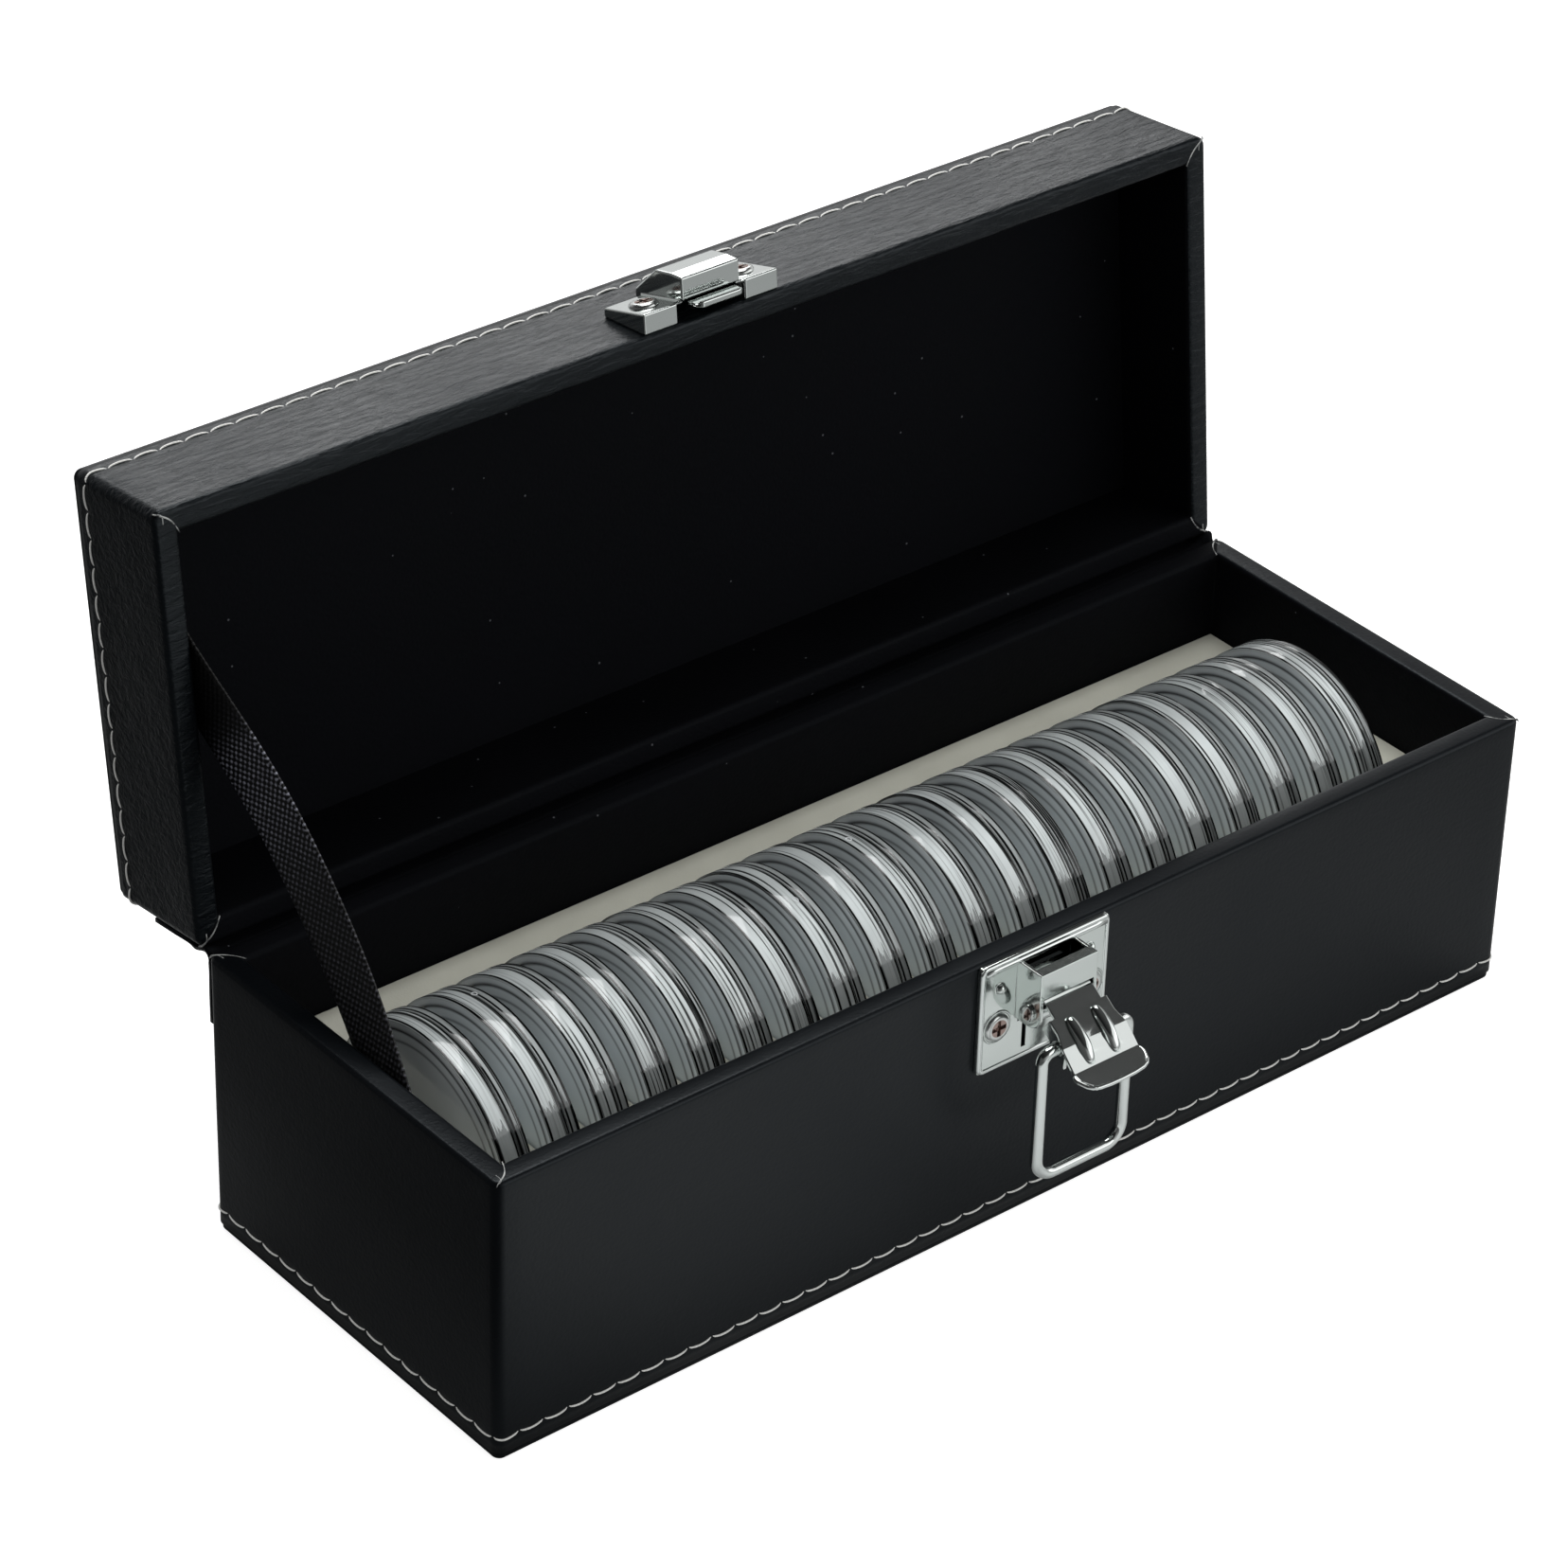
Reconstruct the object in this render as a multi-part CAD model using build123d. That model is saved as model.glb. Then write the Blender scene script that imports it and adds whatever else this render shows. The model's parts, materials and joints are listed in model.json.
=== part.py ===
from build123d import *
from math import atan2, cos, degrees, hypot, radians, sin, tan
import os

# Medal storage box: a leather-covered hinged box with a slotted insert, twenty round capsules
# that stand on edge, a chromed latch with a pull ring, and a ribbon stay. Millimetres, Z up.
# The origin is the middle of the underside, X runs along the length, the front faces -Y.

# Box and coverings
length = 240.0
depth = 84.0
base_height = 59.0
lid_height = 25.5
corner_radius = 2.0
leather = 0.8
board = 3.3
floor_board = 2.5
panel = 1.6
panel_inset = 0.5
turn_in = 10.0
rim_fillet = 0.6
edge_fillet = 0.5

# Hinge: rims' gap when closed, the opening angle, and where the lid's rim-back corner lies open
rim_gap = 0.55
open_angle = 96.26
open_corner_out = 2.35
open_corner_drop = 0.25
spine_leaf = 12.0
spine_margin = 2.0
spine_web_start = 3.0
spine_bulge = 1.2

# Insert and capsules
insert_height = 41.0
insert_fillet = 0.6
lining_below_insert = 6.0
capsule_count = 20
row_end = 13.83
capsule_radius = 25.2
capsule_width = 6.2
capsule_plate = 1.2
capsule_wall = 1.3
capsule_lip = 2.0
capsule_fit = 0.15
lip_gap = 0.2
slot_clearance = 0.3
seat_height = 3.6
medal_radius = 21.3
medal_thickness = 2.5
medal_gap = 0.3
shell_fillet = 0.25

# Stitching
stitch_pitch = 5.2
stitch_length = 4.2
thread = 0.55
thread_proud = 0.3
base_stitch_height = 4.75
lid_stitch_inset = 4.25

# Stay ribbon, along the inside of the left end
ribbon_width = 14.0
ribbon_thickness = 0.5
ribbon_tab = 3.4
ribbon_bow = 4.3
ribbon_base_y = -9.0
ribbon_base_z = 48.5
ribbon_lid_y = -13.3
ribbon_lid_above_rim = 7.0

# Latch plate
plate_width = 30.0
plate_bottom = 35.7
plate_top_margin = 0.4
plate_face = 1.1
sheet = 0.7
plate_fillet = 0.35
housing_half_width = 6.7
housing_wall = 0.8
housing_out = 7.5
housing_low = 52.1
housing_high = 57.4
housing_lip = 2.3
ear_radius = 3.2
dimple_x = 10.5
dimple_z = 53.0
dimple_radius = 1.1
slot_x = 4.2
slot_width = 0.9
slot_low = 37.9
slot_high = 43.4
surround_radius = 3.3
surround_proud = 0.25

# Pin, spring and lever
pin_out = 4.5
pin_z = 48.3
pin_radius = 1.2
pin_head_radius = 1.8
pin_head = 0.6
pin_clearance = 0.1
hub_radius = 2.4
hub_half_width = 5.5
neck = 1.6
lever_sheet = 0.8
lever_root_out = 7.7
lever_root_z = 51.3
lever_bend_out = 15.0
lever_bend_z = 46.3
lever_knee_out = 18.1
lever_knee_z = 42.4
lever_tip_out = 22.5
lever_tip_z = 41.4
lever_bend_radius = 1.2
handle_start = 3.0
handle_half_width = 6.7
handle_flare = 7.6
lip_corner = 2.5
flange_sheet = 0.8
flange_depth = 3.5
lobe_radius = 2.2
tab_out = 14.4
tab_z = 41.2
rib_x = 3.0
rib_radius = 0.9
rib_start = 4.4
rib_end = 2.6
spring_half_width = 4.0
spring_sheet = 0.4
spring_top = 55.0
spring_low = 44.5
spring_gap = 0.3

# Pull ring
ring_wire = 2.3
ring_span = 20.2
ring_out = 12.5
ring_z = 44.9
ring_drop = 27.0
ring_corner = 4.0
ring_turn = 2.0
ring_end = 5.7
ring_clearance = 0.15

# Strike plate, measured out from the lid's front face and up from its rim
strike_half_width = 15.3
strike_out = 4.1
strike_back_out = 1.8
strike_height = 12.0
strike_rim = 0.3
hood_half_width = 6.6
hood_out = 8.5
hood_flat = 3.5
hood_shoulder_out = 7.9
hood_shoulder = 8.0
hood_back_out = 2.4
hood_back = 14.3
mouth_half_width = 7.7
tongue_out = 3.0
tongue_half_width = 5.5
tongue_sheet = 0.8
tongue_reach = 3.0
tongue_hook = 0.6
tongue_corner = 1.2

# Screws
screw_x = 10.9
latch_screw_z = 44.9
strike_screw_height = 6.0
screw_head_radius = 2.8
screw_head = 1.2
screw_shank_radius = 1.1
screw_length = 3.2
screw_hole_clearance = 0.1
screw_hole_length = 40.0
recess_length = 3.2
recess_width = 0.75
recess_depth = 0.7

# Places worked out from the sizes above
wall = leather + board + leather
cavity_length = length - 2 * wall
cavity_depth = depth - 2 * wall
rim_z = base_height + rim_gap
top_z = rim_z + lid_height
front = -depth / 2
left_wall = -cavity_length / 2
floor_top = panel + leather + floor_board
lining_bottom = insert_height - lining_below_insert
capsule_pitch = (cavity_length - 2 * row_end) / (capsule_count - 1)
lid_ceiling = top_z - panel - leather - floor_board - leather

front_section = Plane(origin=(0, front, 0), x_dir=(0, -1, 0), z_dir=(-1, 0, 0))
lid_section = Plane(origin=(0, front, rim_z), x_dir=(0, -1, 0), z_dir=(-1, 0, 0))
front_face = Plane(origin=(0, front, 0), x_dir=(1, 0, 0), z_dir=(0, -1, 0))
end_section = Plane(origin=(0, 0, 0), x_dir=(0, 1, 0), z_dir=(1, 0, 0))


def hinge_place():
    """The hinge axis in (y, z), from where the lid's rim-back corner lies closed and open."""
    closed = (depth / 2, rim_z)
    lying = (depth / 2 + open_corner_out, base_height - open_corner_drop)
    step = (lying[0] - closed[0], lying[1] - closed[1])
    reach = 0.5 / tan(radians(open_angle / 2))
    middle = ((closed[0] + lying[0]) / 2, (closed[1] + lying[1]) / 2)
    return middle[0] + step[1] * reach, middle[1] - step[0] * reach


hinge_y, hinge_z = hinge_place()
hinge = Axis((0, hinge_y, hinge_z), (-1, 0, 0))


def opened(shape):
    """Turn something modelled on the closed lid to the open rest position."""
    return shape.rotate(hinge, open_angle)


def opened_point(y, z):
    """The same turn for a point in (y, z)."""
    turn = radians(open_angle)
    dy, dz = y - hinge_y, z - hinge_z
    return hinge_y + dy * cos(turn) + dz * sin(turn), hinge_z - dy * sin(turn) + dz * cos(turn)


def slab(size_x, size_y, low, high, radius=0.0):
    """A flat block centred on the box, with rounded upright edges."""
    outline = RectangleRounded(size_x, size_y, radius) if radius > 0 else Rectangle(size_x, size_y)
    return Pos(0, 0, low) * extrude(outline, high - low)


def polygon(*points):
    """A face from corner points in a section's own two directions."""
    return make_face(Polyline(*points, close=True))


def across(plane, sketch, half_width, x=0.0):
    """A section drawn on a side-on plane and given its width along the box."""
    return Pos(x, 0, 0) * extrude(plane * sketch, half_width, both=True)


def save(shape, name):
    export_step(shape, f"parts/{name}.step")


os.makedirs("parts", exist_ok=True)


# Screws: the hole and the screw share one seat, given by a location whose Z points outwards

def screw():
    """A pan-head wood screw with a cross recess, its seat at the origin."""
    head = Cylinder(screw_head_radius, screw_head, align=(Align.CENTER, Align.CENTER, Align.MIN))
    head = fillet(head.edges().sort_by(Axis.Z)[-1], screw_head * 0.7)
    recess = Box(recess_length, recess_width, 2 * recess_depth)
    recess += Box(recess_width, recess_length, 2 * recess_depth)
    head -= Pos(0, 0, screw_head) * recess
    shank_long = plate_face + screw_length
    shank = Cylinder(screw_shank_radius, shank_long, align=(Align.CENTER, Align.CENTER, Align.MAX))
    return head + chamfer(shank.edges().sort_by(Axis.Z)[0], screw_shank_radius * 0.6)


def screw_hole():
    """What a screw passes through, a little wider than the shank."""
    return Cylinder(screw_shank_radius + screw_hole_clearance, screw_hole_length)


def latch_seats():
    return [front_face * Pos(side * screw_x, latch_screw_z, plate_face) for side in (-1, 1)]


def strike_seats():
    """Seats on the strike's sloping ears, turned square to them."""
    slope = (strike_out - strike_back_out) / strike_height
    out = strike_out - slope * (strike_screw_height - strike_rim)
    tilt = degrees(atan2(slope, 1))
    place = rim_z + strike_screw_height
    return [front_face * Pos(side * screw_x, place, out) * Rot(X=-tilt) for side in (-1, 1)]


def drill(shape, seats):
    for seat in seats:
        shape -= seat * screw_hole()
    return shape


# Base box

def cover(low, high, lining_end, rim_at_top):
    """A leather skin over a board tray: outside, round the rim, down the inside, turned in."""
    rim = high if rim_at_top else low
    skin = slab(length, depth, low, high, corner_radius)
    edges = skin.edges().group_by(Axis.Z)[-1 if rim_at_top else 0]
    skin = fillet(edges, rim_fillet)
    board_length, board_depth = length - 2 * leather, depth - 2 * leather
    board_low = low if rim_at_top else low + leather
    board_high = high - leather if rim_at_top else high
    skin -= slab(board_length, board_depth, board_low, board_high, corner_radius - leather)
    lining = slab(cavity_length + 2 * leather, cavity_depth + 2 * leather, min(lining_end, rim),
                  max(lining_end, rim))
    skin += lining
    skin -= slab(cavity_length, cavity_depth, low - 1, high + 1)
    flap_low = low if rim_at_top else high - leather
    flap = slab(board_length, board_depth, flap_low, flap_low + leather, corner_radius - leather)
    flap -= slab(length - 2 * turn_in, depth - 2 * turn_in, flap_low, flap_low + leather)
    return skin + flap


def tray(low, high, rim_at_top):
    """The stiff board box inside the leather."""
    outer = slab(length - 2 * leather, depth - 2 * leather, low, high, corner_radius - leather)
    hollow_low = low + floor_board if rim_at_top else low
    hollow_high = high if rim_at_top else high - floor_board
    return outer - slab(cavity_length + 2 * leather, cavity_depth + 2 * leather,
                        hollow_low, hollow_high)


def cover_panel(low, outer_face_at_top):
    """The thin leather-covered board that closes the bottom, and its twin on the lid."""
    inset = 2 * panel_inset
    plate = slab(length - inset, depth - inset, low, low + panel, corner_radius)
    edges = plate.edges().group_by(Axis.Z)[-1 if outer_face_at_top else 0]
    return fillet(edges, edge_fillet)


def stitches(height):
    """One row of thread all round, each stitch a short bar on the leather."""
    bars = []
    for run, across_face in ((length, depth), (depth, length)):
        count = int((run - 2 * corner_radius - stitch_length) // stitch_pitch) + 1
        for side in (-1, 1):
            for index in range(count):
                along = (index - (count - 1) / 2) * stitch_pitch
                out = side * (across_face / 2 + thread_proud / 2)
                if run == length:
                    bars.append(Pos(along, out, height) * Box(stitch_length, thread_proud, thread))
                else:
                    bars.append(Pos(out, along, height) * Box(thread_proud, stitch_length, thread))
    return Compound(bars)


def base_box():
    base_cover = cover(panel, base_height, lining_bottom, True)
    base_board = tray(panel + leather, base_height - leather, True)
    save(drill(base_cover, latch_seats()), "base_cover")
    save(drill(base_board, latch_seats()), "base_board")
    save(cover_panel(0, False), "bottom_panel")
    save(stitches(base_stitch_height), "base_stitching")


# Insert: one block, with a round-bottomed slot for each capsule

capsule_z = floor_top + seat_height + capsule_radius


def capsule_x(index):
    return (index - (capsule_count - 1) / 2) * capsule_pitch


def insert():
    block = slab(cavity_length, cavity_depth, floor_top, insert_height)
    block = fillet(block.edges().group_by(Axis.Z)[-1], insert_fillet)
    radius = capsule_radius + slot_clearance
    width = capsule_width + 2 * slot_clearance
    room = insert_height - capsule_z + 1
    pocket = Rot(Y=90) * Cylinder(radius, width)
    pocket += Box(width, 2 * radius, room, align=(Align.CENTER, Align.CENTER, Align.MIN))
    for index in range(capsule_count):
        block -= Pos(capsule_x(index), 0, capsule_z) * pocket
    save(block, "insert")


# Capsules: a cup on the left and a cover that plugs into it, with a medal between them

def disc(radius, low, high):
    """A round plate across the box, from one distance to another along its axis."""
    return Pos((low + high) / 2, 0, 0) * Rot(Y=90) * Cylinder(radius, high - low)


def capsules():
    half = capsule_width / 2
    cup_end = half - capsule_lip - lip_gap
    bore = capsule_radius - capsule_wall
    cup = disc(capsule_radius, -half, cup_end)
    cup = fillet(cup.edges().group_by(Axis.X)[0], shell_fillet)
    cup -= disc(bore, capsule_plate - half, cup_end)
    plug = bore - capsule_fit
    lid = disc(capsule_radius, half - capsule_lip, half)
    lid = fillet(lid.edges(), shell_fillet)
    lid += disc(plug, capsule_plate - half + medal_gap, half)
    lid -= disc(medal_radius + medal_gap, -half, half - capsule_plate)
    medal_face = half - capsule_plate - medal_gap
    medal = disc(medal_radius, medal_face - medal_thickness, medal_face)
    medal = fillet(medal.edges(), shell_fillet)
    shell = Compound([cup.solid(), lid.solid()])
    for index in range(capsule_count):
        place = Pos(capsule_x(index), 0, capsule_z)
        save(place * shell, f"capsule_{index + 1:02d}")
        save(place * medal, f"medal_{index + 1:02d}")


# Lid, modelled closed and turned to its open rest position

def lid_box():
    lining_end = rim_z + 3 * leather
    lid_cover = cover(rim_z, top_z - panel, lining_end, False)
    lid_board = tray(rim_z + leather, top_z - panel - leather, False)
    lining = slab(cavity_length + 2 * leather, cavity_depth + 2 * leather, lining_end,
                  lid_ceiling + leather)
    lining -= slab(cavity_length, cavity_depth, lining_end, lid_ceiling)
    save(opened(drill(lid_cover, strike_seats())), "lid_cover")
    save(opened(drill(lid_board, strike_seats())), "lid_board")
    save(opened(drill(lining, strike_seats())), "lid_lining")
    save(opened(cover_panel(top_z - panel, True)), "lid_top_panel")
    save(opened(stitches(top_z - lid_stitch_inset)), "lid_stitching")


# Spine hinge: a leaf glued to each back, and the folded web between them

def spine_hinge():
    back = depth / 2
    middle = leather / 2
    web_low = (back + middle, base_height - spine_web_start)
    leaf_low = (back + middle, web_low[1] - spine_leaf)
    web_high = opened_point(back + middle, rim_z + spine_web_start)
    leaf_high = opened_point(back + middle, rim_z + spine_web_start + spine_leaf)
    chord = (web_high[0] - web_low[0], web_high[1] - web_low[1])
    span = hypot(*chord)
    crest = ((web_low[0] + web_high[0]) / 2 + spine_bulge * chord[1] / span,
             (web_low[1] + web_high[1]) / 2 - spine_bulge * chord[0] / span)
    path = Curve() + [Line(leaf_low, web_low), ThreePointArc(web_low, crest, web_high),
                      Line(web_high, leaf_high)]
    strip = trace(path, leather)
    save(across(end_section, strip, length / 2 - spine_margin), "spine_hinge")


# Stay ribbon: bows inwards between its glued ends

def stay_ribbon():
    foot = (ribbon_base_y, ribbon_base_z)
    head = opened_point(ribbon_lid_y, rim_z + ribbon_lid_above_rim)
    run = (head[0] - foot[0], head[1] - foot[1])
    span = hypot(*run)
    flat = left_wall + ribbon_thickness / 2
    section = Plane(origin=(0, foot[0], foot[1]), x_dir=(0, run[0] / span, run[1] / span),
                    z_dir=(0, run[1] / span, -run[0] / span))
    side = section.y_dir.X
    path = Curve() + [
        Line((-ribbon_tab, side * flat), (0, side * flat)),
        ThreePointArc((0, side * flat), (span / 2, side * (flat + ribbon_bow)), (span, side * flat)),
        Line((span, side * flat), (span + ribbon_tab, side * flat))]
    strip = trace(path, ribbon_thickness)
    save(across(section, strip, ribbon_width / 2), "stay_ribbon")
    print(f"ribbon from wall to wall {span:.1f} mm")


# Latch: plate with housing, pin, spring and lever

def latch_plate():
    plate_top = base_height - plate_top_margin
    tall = plate_top - plate_bottom
    middle = (plate_top + plate_bottom) / 2
    centre = Pos(0, middle, 0)
    plate = extrude(front_face * centre * RectangleRounded(plate_width, tall, sheet), plate_face)
    plate = fillet(plate.edges().group_by(Axis.Y)[0], plate_fillet)
    hollow = Rectangle(plate_width - 2 * sheet, tall - 2 * sheet)
    plate -= extrude(front_face * centre * hollow, plate_face - sheet)
    wall_face = polygon((sheet, housing_high), (housing_out, housing_high),
                        (housing_out, housing_low), (pin_out + ear_radius, pin_z),
                        (sheet, pin_z))
    wall_face += Pos(pin_out, pin_z) * Circle(ear_radius)
    wall_face += polygon((sheet, pin_z - ear_radius), (pin_out, pin_z - ear_radius),
                         (pin_out, pin_z), (sheet, pin_z))
    wall_x = housing_half_width - housing_wall / 2
    for side in (-1, 1):
        plate += across(front_section, wall_face, housing_wall / 2, side * wall_x)
    front_wall = polygon((housing_out - housing_wall, housing_low), (housing_out, housing_low),
                         (housing_out, housing_high), (housing_out - housing_wall, housing_high))
    lip = polygon((housing_out - housing_lip, housing_high - housing_wall),
                  (housing_out, housing_high - housing_wall), (housing_out, housing_high),
                  (housing_out - housing_lip, housing_high))
    plate += across(front_section, front_wall + lip, housing_half_width)
    plate -= across(front_section, Pos(pin_out, pin_z) * Circle(pin_radius), plate_width)
    slot = Rectangle(slot_width, slot_high - slot_low)
    for side in (-1, 1):
        slot_place = Pos(side * slot_x, (slot_high + slot_low) / 2, 0)
        plate -= extrude(front_face * slot_place * slot, plate_face)
        dimple = Pos(side * dimple_x, dimple_z, plate_face) * Sphere(dimple_radius)
        plate += front_face * dimple
        ring = Circle(surround_radius) - Circle(screw_head_radius + surround_proud)
        place = Pos(side * screw_x, latch_screw_z, plate_face)
        plate += extrude(front_face * place * ring, surround_proud)
    return drill(plate, latch_seats())


def latch_pin():
    inner = housing_half_width
    shaft = Rot(Y=90) * Cylinder(pin_radius, 2 * inner)
    for side in (-1, 1):
        head = disc(pin_head_radius, 0, pin_head) if side > 0 else disc(pin_head_radius, -pin_head, 0)
        rim = head.edges().group_by(Axis.X)[-1 if side > 0 else 0]
        shaft += Pos(side * inner, 0, 0) * fillet(rim, pin_head * 0.6)
    return Pos(0, front - pin_out, pin_z) * shaft


def latch_spring():
    """A leaf fixed flat to the plate above the pin, bowed out towards the lever's hub."""
    flat = plate_face + spring_sheet / 2
    bow = pin_out - hub_radius - spring_gap - spring_sheet / 2
    turn = pin_z + hub_radius
    path = Curve() + [Line((flat, spring_top), (flat, turn)),
                      ThreePointArc((flat, turn), (bow, pin_z), (flat, 2 * pin_z - turn)),
                      Line((flat, 2 * pin_z - turn), (flat, spring_low))]
    return across(front_section, trace(path, spring_sheet), spring_half_width)


lever_angle = atan2(lever_root_z - lever_bend_z, lever_bend_out - lever_root_out)


def on_lever(run, down):
    """A place on the lever's top plate: along it from its root, and below its top face."""
    return (lever_root_out + run * cos(lever_angle) - down * sin(lever_angle),
            lever_root_z - run * sin(lever_angle) - down * cos(lever_angle))


def latch_lever():
    half = lever_sheet / 2
    root, bend = on_lever(0, half), (lever_bend_out - half, lever_bend_z - half)
    knee, tip = (lever_knee_out, lever_knee_z), (lever_tip_out, lever_tip_z)
    bar = FilletPolyline(root, bend, knee, tip, radius=lever_bend_radius)
    strip = across(front_section, trace(bar, lever_sheet), handle_flare)
    start = on_lever(handle_start, 0)[0]
    plan = [(hub_half_width, 0), (hub_half_width, start), (handle_half_width, start),
            (handle_half_width, lever_bend_out - lip_corner), (handle_flare, lever_bend_out),
            (handle_flare, lever_tip_out - lip_corner), (handle_flare - lip_corner, lever_tip_out + 1)]
    outline = [(x, front - out) for x, out in plan] + [(-x, front - out) for x, out in plan[::-1]]
    lever = strip & extrude(polygon(*outline), base_height)
    neck_face = polygon(*bar_corners((pin_out, pin_z), root, neck))
    lever += across(front_section, neck_face + Pos(pin_out, pin_z) * Circle(hub_radius),
                    hub_half_width)
    lever -= across(front_section, Pos(pin_out, pin_z) * Circle(pin_radius + pin_clearance),
                    plate_width)
    span = hypot(lever_bend_out - lever_root_out, lever_root_z - lever_bend_z)
    side_face = polygon(on_lever(handle_start, half), on_lever(span - half, half),
                        (lever_knee_out - half, lever_knee_z + half), (tab_out + half, ring_z),
                        (tab_out, tab_z), on_lever(span - half, flange_depth),
                        on_lever(handle_start, flange_depth))
    side_face += Pos(ring_out, ring_z) * Circle(lobe_radius)
    side_face -= Pos(ring_out, ring_z) * Circle(ring_wire / 2 + ring_clearance)
    flange_x = handle_half_width - flange_sheet / 2
    for side in (-1, 1):
        lever += across(front_section, side_face, flange_sheet / 2, side * flange_x)
        lever += stamped_rib(side * rib_x, span)
    return lever


def bar_corners(start, end, width):
    """The four corners of a straight bar between two points."""
    run = (end[0] - start[0], end[1] - start[1])
    size = hypot(*run)
    dx, dy = -run[1] / size * width / 2, run[0] / size * width / 2
    return [(start[0] + dx, start[1] + dy), (end[0] + dx, end[1] + dy),
            (end[0] - dx, end[1] - dy), (start[0] - dx, start[1] - dy)]


def stamped_rib(x, span):
    """A half-round rib pressed up over the lever's bend."""
    slope = atan2(lever_bend_z - lever_knee_z, lever_knee_out - lever_bend_out)
    start = on_lever(rib_start, lever_sheet)
    bend = on_lever(span, lever_sheet)
    end = (bend[0] + rib_end * cos(slope), bend[1] - rib_end * sin(slope))
    rib = Part()
    for a, b in ((start, bend), (bend, end)):
        size = hypot(b[0] - a[0], b[1] - a[1])
        turn = degrees(atan2(b[1] - a[1], b[0] - a[0]))
        bar = Rot(Y=90) * Cylinder(rib_radius, size, align=(Align.CENTER, Align.CENTER, Align.MIN))
        rib += Pos(a[0], a[1], 0) * Rot(Z=turn) * bar
    for point in (start, bend, end):
        rib += Pos(point[0], point[1], 0) * Sphere(rib_radius)
    return Pos(x, 0, 0) * (front_section * rib)


def pull_ring():
    """Round wire bent to a ring, its two ends turned in through the lever's side flanges."""
    half = ring_span / 2
    low = ring_z - ring_drop
    points = [(-ring_end, ring_z), (-half, ring_z), (-half, low), (half, low), (half, ring_z),
              (ring_end, ring_z)]
    corners = [ring_turn, ring_corner, ring_corner, ring_turn]
    wire_line = front_face * Pos(0, 0, ring_out) * FilletPolyline(*points, radius=corners)
    start = Plane(origin=wire_line @ 0, z_dir=wire_line % 0)
    return sweep(start * Circle(ring_wire / 2), wire_line)


# Strike: pressed cover with a hood and the tongue that drops into the housing

def strike_plate():
    back = strike_rim + strike_height
    wedge = polygon((0, strike_rim), (strike_out, strike_rim), (strike_back_out, back), (0, back))
    wedge_in = polygon((0, strike_rim + sheet), (strike_out - sheet, strike_rim + sheet),
                       (strike_back_out - sheet, back - sheet), (0, back - sheet))
    hood = polygon((0, strike_rim), (hood_out, strike_rim), (hood_out, hood_flat),
                   (hood_shoulder_out, hood_shoulder), (hood_back_out, hood_back), (0, hood_back))
    hood_in = polygon((0, strike_rim + sheet), (hood_out - sheet, strike_rim + sheet),
                      (hood_out - sheet, hood_flat), (hood_shoulder_out - sheet, hood_shoulder - sheet),
                      (hood_back_out - sheet, hood_back - sheet), (0, hood_back - sheet))
    shell = across(lid_section, wedge, strike_half_width) + across(lid_section, hood, hood_half_width)
    shell -= across(lid_section, wedge_in, strike_half_width - sheet)
    shell -= across(lid_section, hood_in, hood_half_width - sheet)
    mouth = polygon((0, 0), (strike_out, 0), (strike_out, strike_rim + sheet), (0, strike_rim + sheet))
    shell -= across(lid_section, mouth, mouth_half_width)
    far = tongue_out + tongue_sheet
    reach = polygon((tongue_out, -tongue_reach), (far + tongue_hook, -tongue_reach),
                    (far + tongue_hook, tongue_sheet - tongue_reach), (far, tongue_sheet - tongue_reach),
                    (far, hood_back - sheet), (tongue_out, hood_back - sheet))
    tongue = across(lid_section, reach, tongue_half_width)
    tongue = chamfer(tongue.edges().filter_by(Axis.Y).group_by(Axis.Z)[0], tongue_corner)
    solid_hood = across(lid_section, hood, hood_half_width - sheet)
    below_rim = slab(length, 2 * depth, 0, rim_z + strike_rim)
    return shell + (tongue & (solid_hood + below_rim))


def hardware():
    save(latch_plate(), "latch_plate")
    save(latch_pin(), "latch_pin")
    save(latch_spring(), "latch_spring")
    save(latch_lever(), "latch_lever")
    save(pull_ring(), "pull_ring")
    save(Compound([seat * screw() for seat in latch_seats()]), "latch_screws")
    save(opened(drill(strike_plate(), strike_seats())), "strike_plate")
    save(opened(Compound([seat * screw() for seat in strike_seats()])), "strike_screws")


base_box()
insert()
capsules()
lid_box()
spine_hinge()
stay_ribbon()
hardware()
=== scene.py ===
import json
import math

import bmesh
import bpy
import numpy as np
from mathutils import Matrix, Vector


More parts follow.
